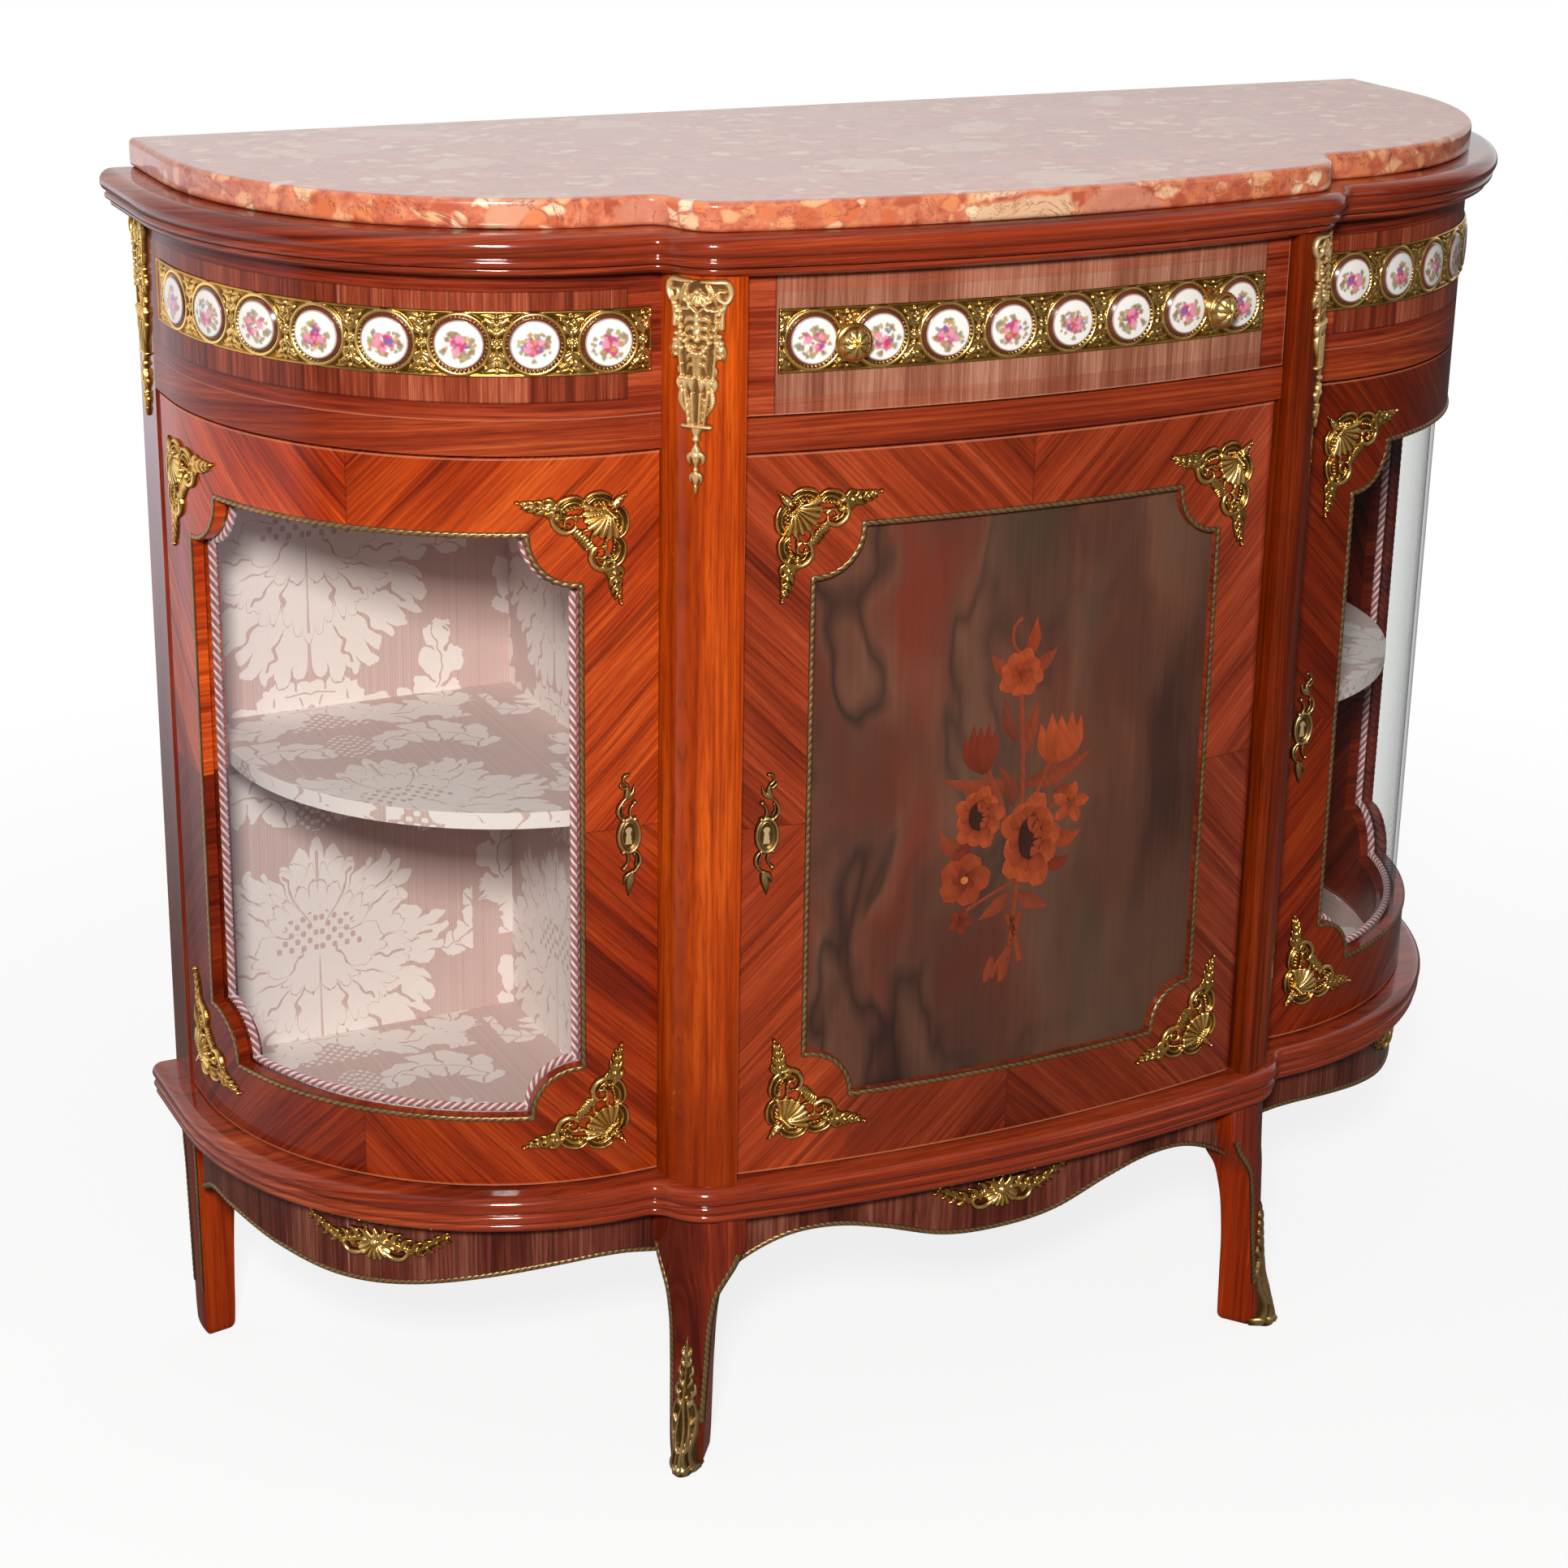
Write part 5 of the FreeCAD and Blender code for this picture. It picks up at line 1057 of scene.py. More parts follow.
# ---------------------------------------------------------------- gilt mounts
def corner_mount():
    """Shell between scalloped rims, scrolls and two leafy arms, drawn once along each edge; the outer corner is at
    zero."""
    r = Relief(-3, 78, -3, 82, 0.45)
    for r.swap, r.scale in ((False, (1, 1)), (True, (0.99, 1.04))):
        for points, w, h in (
                ([(15, 8), (22, 5), (29, 8), (36, 7.5), (44, 9.5), (48, 15)], [4.2, 4.2, 3.6, 4.2, 4.6], 0.8),
                ([(12, 4.2), (16.5, 1.6), (23, 1.0), (28.5, 3.0), (31.5, 7.2)], [0.8, 1.5, 1.5, 0.9],
                 [2.0, 3.0, 2.8, 2.2]),
                ([(31, 6.4), (35, 3.4), (41, 3.2), (47.5, 6.0), (51, 11.5)], [0.8, 1.5, 1.5, 1.3],
                 [2.2, 3.0, 3.0, 2.6]),
                ([(14, 7.6), (18.5, 4.9), (23.5, 4.6), (28, 7.4), (30, 11)], 0.8, 2.5),
                ([(32.5, 10.4), (36, 6.9), (41, 7.0), (45.6, 10.4), (47, 15.0)], [0.8, 1.1, 1.0], 2.5),
                ([(51, 11.5), (52.2, 17.5), (49.5, 24), (43, 27), (37.5, 24.5), (36, 19.5), (39.5, 16.2),
                  (43.5, 17.5), (43.8, 21.2), (41, 21.8)], [1.3, 1.9, 2.2, 1.9, 1.5, 1.2, 0.9],
                 [2.6, 3.2, 3.4, 3.0, 2.8, 2.6]),
                ([(48.6, 15), (47.6, 20.5), (43.2, 23.6)], [0.8, 0.9], 2.4),
                ([(38.5, 26), (35, 29), (31.5, 31.5)], [1.5, 2.2, 2.6], [2.4, 1.8]),
                ([(37, 16), (33.5, 16.4), (31, 15)], [1.2, 1.6], 2.4),
                ([(36.5, 25.0), (32.0, 26.6), (28, 25.5)], [1.0, 1.4], 2.2),
                ([(48, 10.5), (58, 9.8), (68, 8.2), (76.5, 5.5)], [2.0, 1.6, 1.3, 0.8], [2.6, 2.4, 2.0, 1.6])):
            r.scroll(points, w, h)
        for k in range(5):
            r.bead(17.5 + 2.7 * k, 8.6 - 0.55 * (2 - abs(k - 2)) + 0.5 * k, 1.25, 2.6)
            r.bead(34.5 + 2.5 * k, 10.6 + 0.3 * k * k * 0.4, 1.15, 2.5)
        for k in range(4):
            r.leaf([(35.0 - 2.0 * k, 25.6 + 1.6 * k), (37.4 - 1.6 * k, 28.6 + 1.5 * k),
                    (38.2 - 1.4 * k, 32.0 + 1.2 * k)], 1.6, 3.0)
        r.leaf([(46, 17), (52, 17.5), (57, 14.5)], 2.2, 2.6)
        r.leaf([(50, 8), (54.5, 4.5), (59, 5)], 2.1, 2.6)
        r.leaf([(11.5, 9.5), (7, 5.5), (3.5, 3.0)], 1.9, 3.0)
        for x, y, dx, dy, w in ((51, 9.5, 8, -1.6, 2.5), (51, 13, 8, 1.2, 2.6), (57, 8.5, 7, -3.4, 2.2),
                                (57, 11, 8, 2.6, 2.3), (63, 8, 6.5, -2.8, 1.8), (63, 10, 7, 1.8, 1.8),
                                (68, 7.4, 5, -2.2, 1.4), (68, 8.6, 5.4, 1.2, 1.4)):
            r.leaf([(x, y), (x + dx * 0.55, y + dy * 0.8), (x + dx, y + dy)], w, 2.6)
        for bead in ((55, 10.4, 2.1, 3.3), (60.5, 9.4, 1.8, 3.3), (66, 8.8, 1.6, 3.3), (71, 7.2, 1.3, 3.3),
                     (75.4, 5.8, 1.5, 3.3), (13.5, 9.5, 1.5, 3.6), (16.6, 10.6, 1.2, 3.4)):
            r.bead(*bead)
    r.swap, r.scale = False, (1, 1)
    r.shell(13.2, 13.6, 19.5, -22, 112, 8, 4.2, 0.1)
    r.leaf([(12, 12), (6, 6), (1.5, 1.5)], 2.2, 3.6)
    for k in range(4):
        r.bead(10.5 - 2.4 * k, 10.5 - 2.4 * k, 1.6 - 0.15 * k, 3.8)
    for k in range(7):
        r.bead(10.2 + 1.35 * k, 18.4 - 1.4 * k, 1.25, 4.4)
    r.cut(34.0, 21.2, 2.9)
    r.cut(21.0, 35.4, 2.9)
    return r


def escutcheon():
    """Tall rococo keyhole plate: two oval rims and the same scrolls above and, turned round, below."""
    r = Relief(-12, 12, -46, 46, 0.4)
    t = np.linspace(0, 2 * math.pi, 48)
    r.plate((r.X / 8.4) ** 2 + (r.Y / 13.0) ** 2 < 1, 1.2)
    r.line(np.stack([7.6 * np.cos(t), 12.2 * np.sin(t)], 1), 1.6, 3.2)
    r.line(np.stack([5.2 * np.cos(t) - 0.2, 9.6 * np.sin(t)], 1), 0.9, 2.2)
    for r.scale in ((1, 1), (-1, -1)):
        for points, w, h in (
                ([(4.6, 11.6), (7.6, 15.5), (7.9, 20.5), (5.2, 25.0), (2.4, 28.2)], [1.1, 1.4, 1.2, 0.8],
                 [2.8, 3.2, 2.6]),
                ([(3.6, 14.2), (5.4, 18.4), (4.6, 22.6)], [0.7, 0.8], 2.2),
                ([(-2.2, 11.8), (-0.6, 16.0), (-1.2, 20.4), (-3.8, 23.6)], [0.9, 1.1, 0.9], [2.6, 2.4])):
            r.scroll(points, w, h)
        for bead in ((-3.9, 23.9, 1.7, 3.2), (-4.2, 11.9, 1.9, 3.4), (4.2, 11.9, 1.7, 3.4), (0.2, 12.8, 1.3, 3.0)):
            r.bead(*bead)
        r.leaf([(2.6, 27), (-2.6, 31), (-3.8, 36)], 1.9, 3.0)
        r.leaf([(2.6, 27.5), (1.0, 33), (2.2, 39)], 2.1, 3.2)
    r.scale = (1, 1)
    r.scroll([(1.6, 37), (4.4, 40), (3.4, 43.6), (0.6, 44.4)], [1.2, 1.1, 1.3], [2.6, 2.4])
    r.leaf([(2.8, 34), (6.0, 36.5), (6.6, 39)], 1.4, 2.6)
    r.leaf([(-2.4, -27), (-0.6, -36), (0.4, -44.5)], 3.4, 3.0)
    r.cut(0, 3.4, 2.6)
    r.H[(abs(r.X) < 1.5 - (r.Y - 3.4) * 0.12) & (r.Y < 3.4) & (r.Y > -7.0)] = -1.0
    return r


def drop():
    """Pilaster drop: scrolled head, swag, fluted body, husks. Its top is at zero."""
    r = Relief(-24, 24, -158, 2)
    half = np.interp(-r.y, [0, 12, 20, 30, 60, 78, 80, 104, 107, 110], [19, 20, 16, 14, 13, 12, 10, 6.5, 7.5, 6.5])
    r.plate((abs(r.X) < half[:, None]) & (r.Y > -110) & (r.Y < 0), 0.8)
    r.shell(0, -8.5, 11, 200, 340, 7, 4.0, 0.1)
    for r.scale in MIRRORED:
        for k in range(6):
            y, s = -29.0 - 6.6 * k, 1.0 - 0.05 * k
            r.leaf([(1.0, y), (5.4 * s, y + 1.0), (9.6 * s, y - 5.6)], 2.4 * s, 3.3, 0.6)
        for k in range(4):
            r.leaf([(11.4 - 0.3 * k, -28 - 11 * k), (13.2 - 0.3 * k, -33 - 11 * k), (11.2 - 0.3 * k, -39 - 11 * k)],
                   1.9, 3.2, 0.5)
        for points, w, h in (
                ([(9, -15), (5.5, -17.5), (6.2, -21.5), (9.6, -20.8)], [1.1, 1.4, 1.0], 3.6),
                ([(3, -1.5), (11, -1.5), (19, -2), (21.5, -9), (18, -16), (13.5, -13), (14, -8), (17.5, -8.5)],
                 [1.4, 2.1, 2.2, 1.8, 1.2], [3.2, 4.4, 4.2, 3.2]),
                ([(18, -16), (16.5, -24), (16, -34)], [2.0, 1.6, 2.2], [3.6, 3.0, 3.4]),
                ([(6, -4), (8, -10), (4.5, -14), (2.5, -10)], [1.2, 1.4, 0.9], 3.4),
                ([(15, -21), (9, -22), (5, -20), (1, -23)], [1.2, 1.0, 1.2], 3.4),
                ([(12, -24), (12.2, -40), (11.4, -60), (10.2, -72)], [1.1, 1.3, 1.1], 3.0)):
            r.scroll(points, w, h)
        r.line([(5.0, -86), (3.6, -102)], [0.9, 0.7], 2.6)
        r.line([(7.6, -80), (5.0, -104)], [1.3, 1.0], 3.4)
        r.line([(2.8, -82), (1.9, -104)], [1.3, 0.9], 3.6)
        r.line([(0, -106), (9.2, -106)], 1.7, 3.6)
        r.leaf([(8, -3), (11, -12), (13, -22)], 2.0, 3.2)
        r.leaf([(11, -44), (17, -50), (17.5, -59)], 2.6, 3.6)
        r.leaf([(10, -78), (10.6, -88), (6.6, -99)], 2.2, 3.8)
        r.leaf([(0.8, -124), (4.6, -128), (4.2, -135)], 2.0, 3.6)
        r.leaf([(0.5, -139), (3.4, -143), (3.0, -149)], 1.6, 3.0)
        r.bead(15.5, -21, 2.6, 4.2)
        for t in np.linspace(0, 1, 9):
            r.bead(14.0 * (1 - t) ** 0.8, -24 - 29 * math.sin(t * math.pi / 2), 2.2 - 0.6 * abs(t - 0.5), 4.6)
        for y, w in ((-40, 2.2), (-45, 2.8), (-50, 2.9), (-55, 2.3)):
            r.bead(15.5 - 0.12 * (y + 48) ** 2 * 0.1, y, w, 3.8)
        for k in range(3):
            r.leaf([(2.2 + 4.3 * k, -70), (3.4 + 4.3 * k, -75), (2.6 + 4.2 * k, -82)], 2.5, 4.4)
            r.bead(2.2 + 4.2 * k, -71, 2.0, 4.6)
    r.scale = (1, 1)
    for y, end, w, h in ((-26, -37, [2.4, 1.2], 3.6), (-56, -68, [4.6, 3.6], 2.6), (-108, -114, [4.2, 1.6], 3.0),
                         (-115, -152, [1.3, 1.1], 2.6), (-150, -155, [1.5, 1.0], [3.0, 2.2])):
        r.line([(0, y), (0, end)], w, h)
    for y, w, h in ((-9, 2.6, 4.2), (-17, 2.0, 3.8), (-32, 2.6, 4.0), (-38, 3.2, 4.0), (-43, 2.4, 4.0),
                    (-115, 2.8, 4.2), (-127, 3.6, 4.6), (-137.5, 2.0, 3.8)):
        r.bead(0, y, w, h)
    r.leaf([(0, -120), (0, -127), (0, -136)], 3.6, 4.6, 0.5)
    r.leaf([(0, -139), (0, -144), (0, -150)], 2.8, 4.0, 0.5)
    return r


def apron_mount():
    """Long leafy scroll over a small shell."""
    r = Relief(-60, 60, -22, 22)
    spine = curve([(0, 3), (11, 5), (21, 2), (31, 1.5), (40, 6), (48, 11), (56, 14.5)])
    r.shell(0, 4, 14, 198, 342, 7, 4.4)
    r.leaf([(0, 4), (-1, 9), (1, 15)], 3.2, 3.8)
    for r.scale in MIRRORED:
        r.line(spine, [6.0, 5.4, 5.0, 4.4, 3.6, 2.6, 1.0], 1.0)
        r.stroke(r.put(spine), [2.2, 2.4, 2.1, 1.9, 1.6, 1.2, 0.7], [3.8, 3.6, 3.2, 3.0, 2.6, 1.8], 0.4)
        r.scroll([(7, -3), (14, -7), (22, -6), (25, -1), (21, 2), (18, -1)], [1.8, 2.4, 1.8, 1.3], [3.6, 3.8, 3.0])
        r.leaf([(2, 6), (7, 11), (7, 16)], 2.4, 3.4)
        for k in range(7):
            x, y = spine[3 + 5 * k]
            s = 1.0 - 0.07 * k
            r.leaf([(x, y + 1), (x + 3.5 * s, y + 6.5 * s), (x + 8.5 * s, y + 8.0 * s)], 2.9 * s, 3.5 * s)
            r.leaf([(x + 2, y), (x + 6.0 * s, y - 4.0 * s), (x + 11.0 * s, y - 4.2 * s)], 2.7 * s, 3.3 * s)
            r.bead(x + 2.5, y + 0.6, 2.2 * s, 4.2 * s)
    r.scale = (1, 1)
    r.bead(0, 3.5, 3.6, 5.0)
    return r


def sabot():
    """Leaf foot mount, from the floor up."""
    r = Relief(-15, 15, 0, 110)
    width = np.interp(r.y, [0, 3, 8, 20, 45, 62, 75, 90, 108], [6.5, 9.4, 11.2, 10.2, 8.8, 6.8, 4.4, 2.4, 0.6])
    r.plate((abs(r.X) < width[:, None]) & (r.Y < 108), 0.5)
    r.scroll([(0, 4), (-1.2, 30), (1.0, 58), (0, 84), (0, 104)], [2.2, 1.6, 1.5, 1.2, 0.8], [4.2, 3.0, 3.4, 2.6, 2.0])
    for r.scale in MIRRORED:
        r.scroll([(9.4, 3), (6.6, 18), (9.2, 36), (8.6, 50), (4.6, 62)], [2.0, 1.3, 1.9, 1.6, 0.8],
                 [3.6, 2.6, 3.4, 3.0, 2.4])
        r.scroll([(4.6, 3), (3.0, 16), (5.2, 32), (3.4, 48), (1.0, 60)], [2.0, 1.1, 1.7, 1.3, 0.7],
                 [4.0, 2.6, 3.4, 2.8, 2.4])
        for k, (x, y) in enumerate(((2.0, 18), (6.2, 40), (2.2, 52), (4.4, 60), (1.6, 68), (2.6, 76), (1.0, 84),
                                    (1.2, 92))):
            s = 1.0 - 0.06 * k
            r.leaf([(x, y), (x + 3.6 * s, y + 6.0 * s), (x + 2.2 * s, y + 14.0 * s)], 1.9 * s + 0.4, 3.6, 0.6)
        r.bead(4.2, 5.5, 3.2, 4.8)
        r.bead(9.6, 5.5, 2.8, 4.8)
    r.scale = (1, 1)
    r.bead(0, 6.5, 3.6, 5.2)
    r.leaf([(0, 84), (0, 96), (0, 107)], 2.4, 3.2)
    return r


def band(a0, a1, discs):
    """Pierced-looking frieze band: rims, a beaded ring for each plaque, and a cross of leaves between the rings."""
    r = Relief(a0, a1, -21.5, 21.5, 0.6)
    r.plate(np.ones_like(r.X, bool), 0.7)
    for y in (-20.8, 20.8):
        r.line([(a0 + 0.6, y), (a1 - 0.6, y)], 0.9, 1.6)
    for x in (a0 + 0.9, a1 - 0.9):
        r.line([(x, -20.8), (x, 20.8)], 0.9, 1.6)
    t = np.linspace(0, 2 * math.pi, 61)
    step = discs[1] - discs[0]
    for c in discs:
        r.cut(c, 0.0, 18.4)
        r.line(np.stack([c + 19.6 * np.cos(t), 19.6 * np.sin(t)], 1), 1.6, 2.6)
        for k in range(40):
            w = 2 * math.pi * k / 40
            r.bead(c + 18.0 * math.cos(w), 18.0 * math.sin(w), 0.9, 1.8)
    between = [(discs[k] + discs[k + 1]) / 2 for k in range(len(discs) - 1)]
    for c in between + [discs[0] - step / 2, discs[-1] + step / 2]:
        r.shift = (c, 0)
        for up in (1, -1):
            for m in (1, -1):
                r.scale = (m, up)
                r.leaf([(0.6, 6), (4.2, 9.5), (4.4, 14)], 1.8, 2.4)
                r.leaf([(1, 12), (5.5, 15), (9, 18.2)], 2.0, 2.4)
                r.leaf([(1, 17), (6, 18.2), (11.5, 19.2)], 1.5, 2.0)
                r.scroll([(0.8, 9), (3.4, 12), (2.0, 15), (0.8, 13)], 0.8, 2.4)
                r.bead(7.4, 15.6, 1.2, 2.4)
            r.leaf([(0, 3), (0, 8), (0, 12)], 1.5, 2.6)
            r.bead(0, 12.5, 1.7, 2.9)
            r.bead(0, 18.0, 1.6, 2.5)
        r.scale = (1, 1)
        for k in range(8):
            r.bead(2.5 * math.cos(math.pi * k / 4), 2.5 * math.sin(math.pi * k / 4), 1.3, 2.4)
        r.bead(0, 0, 1.5, 3.2)
    for c in discs:
        r.cut(c, 0.0, 17.0)
    r.H[:, (r.x < a0 + 0.2) | (r.x > a1 - 0.2)] = -1.0
    return r


# Painted nosegays: the places, sizes and hues of their spots, drawn at random.
SPRIGS = []
source = np.random.default_rng(5)
for k in range(8):
    spots = []
    for hue, count, size, spread in (("leaf", 22, 2.6, 12.0), ("bark", 12, 1.9, 11.5), ("moss", 10, 2.2, 11.0),
                                     ("rose", 6, 3.4, 6.5), ("blue", 3, 2.4, 8.0), ("gold", 6, 1.8, 10.5),
                                     ("pink", 5, 2.8, 6.5)):
        for _ in range(count):
            w, d = source.uniform(0, 2 * math.pi), spread * math.sqrt(source.uniform(0, 1))
            spots.append((d * math.cos(w), d * math.sin(w) * 0.86 - 1.4, size * source.uniform(0.5, 1.15), hue))
    SPRIGS.append(spots)
HUES = {"leaf": rgb(138, 126, 84), "bark": rgb(162, 112, 80), "moss": rgb(176, 160, 104), "rose": rgb(206, 58, 122),
        "blue": rgb(98, 108, 168), "gold": rgb(214, 150, 84), "pink": rgb(236, 150, 178)}


def plaque(build, surface, a, z, side, which):
    """A white disc with a painted nosegay, slightly domed, in a dark rim. Each spot is a soft three-lobed blot."""
    rings, parts, radius = 26, 72, 16.0
    r = np.linspace(0, radius, rings)[:, None]
    t = np.linspace(0, 2 * math.pi, parts, endpoint=False)[None]
    X, Y = r * np.cos(t), r * np.sin(t)
    h = 3.2 + 0.8 * (1 - (r / radius) ** 2) + X * 0
    paint = np.tile(np.array(rgb(244, 242, 238)), (rings, parts, 1))
    for px, py, size, hue in SPRIGS[which % len(SPRIGS)]:
        w = 0.55 * np.sin(3 * np.arctan2(Y - py, X - px) + px * 5) + 1.0
        d = np.hypot(X - px, Y - py) / (size * (0.7 + 0.3 * w))
        soft = np.clip((1.0 - d) * 2.5, 0, 1)[..., None] * 0.85
        paint = paint * (1 - soft) + np.array(HUES[hue]) * soft
    paint[-2:] = paint[-2:] * 0.3 + np.array(rgb(120, 60, 38)) * 0.7
    points = surface(a + X, z + Y, h, side)
    skirt = surface(a + X[-1:], z + Y[-1:], 0.0 * X[-1:], side)
    build.grid(np.concatenate([points, skirt]), closed=(False, True), flip=side < 0,
               paint=np.concatenate([paint, paint[-1:]]).reshape(-1, 4))
    ring = np.concatenate([surface(a + rr * np.cos(t), z + rr * np.sin(t), np.full(t.shape, hh), side)
                           for rr, hh in ((15.9, 3.0), (16.4, 2.6), (17.8, 1.2), (18.6, 0.4))])
    build.grid(ring, closed=(False, True), flip=side < 0, paint=np.tile(np.array(rgb(96, 46, 28)), (4 * parts, 1)))


side_discs = [WING_R * math.radians(5.0 + 11.3 * k) for k in range(8)]
centre_discs = [(k - 3.5) * 47.75 for k in range(8)]
b, p = Build(), Build()
relief = band(-9.0, 2 * WING_MIDDLE + 15.0, side_discs)
for side in (-1, 1):
    relief.lay(b, wing, 0.0, BAND_Z, side=side)
    for k, a in enumerate(side_discs):
        plaque(p, wing, a, BAND_Z, side, k + (side > 0) * 3)
b.make("bands_side", MAT["gilt"], "carcase", "gilt", "side_bands")
p.make("plaques_side", MAT["porcelain"], "carcase", "porcelain", "side_plaques")
b, p = Build(), Build()
relief = band(-191.0, 191.0, centre_discs)
for x in (-KNOB_A, KNOB_A):
    relief.H[np.hypot(relief.X - x, relief.Y) < 4.0] = 0.7
relief.lay(b, bow, 0.0, BAND_Z)
b.make("band_drawer", MAT["gilt"], "drawer", "gilt", "drawer_band")
for k, a in enumerate(centre_discs):
    plaque(p, bow, a, BAND_Z, 1, k + 5)
p.make("plaques_drawer", MAT["porcelain"], "drawer", "porcelain", "drawer_plaques")

b = Build()
shape, narrow = drop(), drop()
shape.Y = shape.Y * 0.916
narrow.X, narrow.Y = narrow.X * 0.72, narrow.Y * 0.916
for side in (-1, 1):
    shape.lay(b, column, 0.0, 880.0, side=side, age=4.0)
    narrow.lay(b, stile, 0.0, 880.0, side=side)
shape = apron_mount()
shape.lay(b, set_back(bow), 0.0, 177.0)
for side in (-1, 1):
    shape.lay(b, set_back(wing), WING_MIDDLE, 173.0, side=side)
b.make("mounts_carcase", MAT["gilt"], "carcase", "gilt", "carcase_mounts")

b = Build()
shape = sabot()
for side in (-1, 1):
    shape.lay(b, leg_face(FRONT), 0.0, 0.0, side=side, sink=1.5, age=2.25)
b.make("sabot_leaves", MAT["gilt"], "carcase", "gilt", "sabots")


def lock_case(build, surface, a0, a1, side):
    """The lock's case at the back of the door, as a slab with rounded rims."""
    a = np.linspace(a0, a1, 9)
    rows = [(-8.3, 5.0), (-8.3, 0.5), (-9.0, 0.0), (-21.2, 0.0), (-22.0, 0.5), (-22.0, 5.0)]
    z0, z1 = 461.7, 517.7
    points = np.stack([surface(a, np.full(9, z0 + t), h, side) for h, t in rows]
                      + [surface(a, np.full(9, z1 - t), h, side) for h, t in rows[::-1]])
    build.grid(points, closed=(True, False), flip=side > 0)
    for end, flip in ((0, False), (-1, True)):
        ring = points[:, end]
        build.grid(np.stack([ring[:6], ring[:5:-1]]), flip=flip)


def keyhole(build, surface, a, side):
    """Escutcheon with the pale lock plate seen through its keyhole."""
    z = 489.7
    key.lay(build, surface, a, z, side=side, age=2.0)
    X, Y = np.meshgrid(np.array([-2.8, 0.0, 2.8]), np.array([-7.4, 0.0, 6.4]))
    build.grid(surface(a + X, z + Y, 0.2 + X * 0, side), np.full(X.shape, 4.9), flip=side < 0)


corner, key = corner_mount(), escutcheon()
on_wing = ((7.0, 2 * WING_MIDDLE + 9.0), 7.0, (-11.0, 24.0))
for name, surface, side, (ends, hole, lock) in (
        ("left", wing, -1, on_wing), ("right", wing, 1, on_wing),
        ("centre", bow, 1, ((-191.5, 191.5), -193.5, (-210.0, -174.0)))):
    b = Build()
    for z, up in ((254.0, 1), (736.0, -1)):
        for a, way in zip(ends, (1, -1)):
            corner.lay(b, surface, a, z, way, up, side)
    keyhole(b, surface, hole, side)
    lock_case(b, surface, *lock, side)
    b.make("mounts_door_" + name, MAT["gilt"], "door_" + name, "gilt", "door_%s_fittings" % name)

# ---------------------------------------------------------------- marquetry bouquet
WOODS = {"bright": rgb(174, 77, 42), "warm": rgb(155, 66, 37), "dim": rgb(124, 50, 32), "leaf": rgb(140, 64, 41),
         "dull": rgb(122, 58, 40), "core": rgb(54, 32, 27), "gold": rgb(206, 118, 58)}


def drawn_in(z):
    """A height in the first drawing of the bouquet, drawn in towards the blossom."""
    return 435.0 + (z - 440.0) * 0.83


def inlaid(build, line, widths, tone, level, scorch=0.45):
    """A sawn piece: widths either side of a smooth middle line, scorched darker at its root."""
    c = curve(line, 6)
    s = np.linspace(0, 1, len(c))
    w = np.clip(smooth(np.linspace(0, 1, len(widths)), widths, s), 0.05, None)
    way = np.gradient(c, axis=0)
    way /= np.hypot(way[:, 0], way[:, 1])[:, None] + 1e-9
    v = np.linspace(-1, 1, 7)
    a = c[:, None, 0] - way[:, None, 1] * v * w[:, None]
    z = c[:, None, 1] + way[:, None, 0] * v * w[:, None]
    light = 1.0 - scorch * np.exp(-s * 3.2)[:, None] - 0.12 * (v > 0.3)
    paint = np.array(WOODS[tone]) * np.stack([light, light, light, np.ones_like(light)], -1)
    build.grid(bow(a, z, np.full(a.shape, -4.75 + 0.07 * level)), flip=True, paint=paint.reshape(-1, 4))


def petals(build, cx, cz, inner, outer, count, width, tone, level, turn=0.0, squash=1.0, point=0.25):
    """Petals about a middle, from an inner to an outer radius."""
    for k in range(count):
        w = turn + 2 * math.pi * k / count
        far = outer * (1.0 + 0.09 * math.sin(5 * w + cx))
        line = [(cx + r * math.sin(w + 0.06 * j) * squash, cz + r * math.cos(w + 0.06 * j))
                for j, r in enumerate((inner, (inner + far) * 0.5, far))]
        inlaid(build, line, [width * v for v in (0.45, 0.9, 1.0, 0.85, point)], tone, level + 0.25 * (k % 2))


def disc(build, cx, cz, radius, tone, level, squash=1.0):
    """A round piece, as one inlaid upright strip of round widths."""
    inlaid(build, [(cx, cz - radius), (cx, cz), (cx, cz + radius)],
           [radius * squash * v for v in (0.02, 0.66, 0.87, 0.97, 1.0, 0.97, 0.87, 0.66, 0.02)], tone, level, 0.0)


b = Build()
LEAF = [0.12, 0.75, 1.0, 0.8, 0.45, 0.03]
for root, bend, tip, width, tone in (
        ((2, 520), (-30, 522), (-62, 534), 6.0, "leaf"), ((4, 520), (34, 524), (62, 541), 6.2, "leaf"),
        ((4, 545), (10, 570), (15, 596), 5.2, "leaf"), ((-2, 560), (-10, 580), (-12, 603), 4.4, "dull"),
        ((-8, 622), (-17, 629), (-25, 641), 4.6, "leaf"), ((8, 622), (18, 628), (29, 640), 5.0, "leaf"),
        ((-40, 470), (-54, 472), (-62, 488), 5.6, "leaf"), ((30, 470), (44, 462), (56, 468), 6.2, "warm"),
        ((26, 446), (38, 440), (48, 446), 5.0, "dim"), ((4, 420), (16, 408), (31, 401), 5.4, "leaf"),
        ((-2, 420), (-14, 408), (-27, 399), 5.2, "leaf"), ((-36, 478), (-48, 456), (-60, 446), 4.8, "dim"),
        ((30, 508), (44, 506), (54, 492), 4.6, "leaf"), ((-2, 500), (-6, 522), (-16, 540), 4.6, "dull")):
    inlaid(b, [(x, drawn_in(z)) for x, z in (root, bend, tip)], [1.15 * width * v for v in LEAF], tone, 0.0, 0.3)
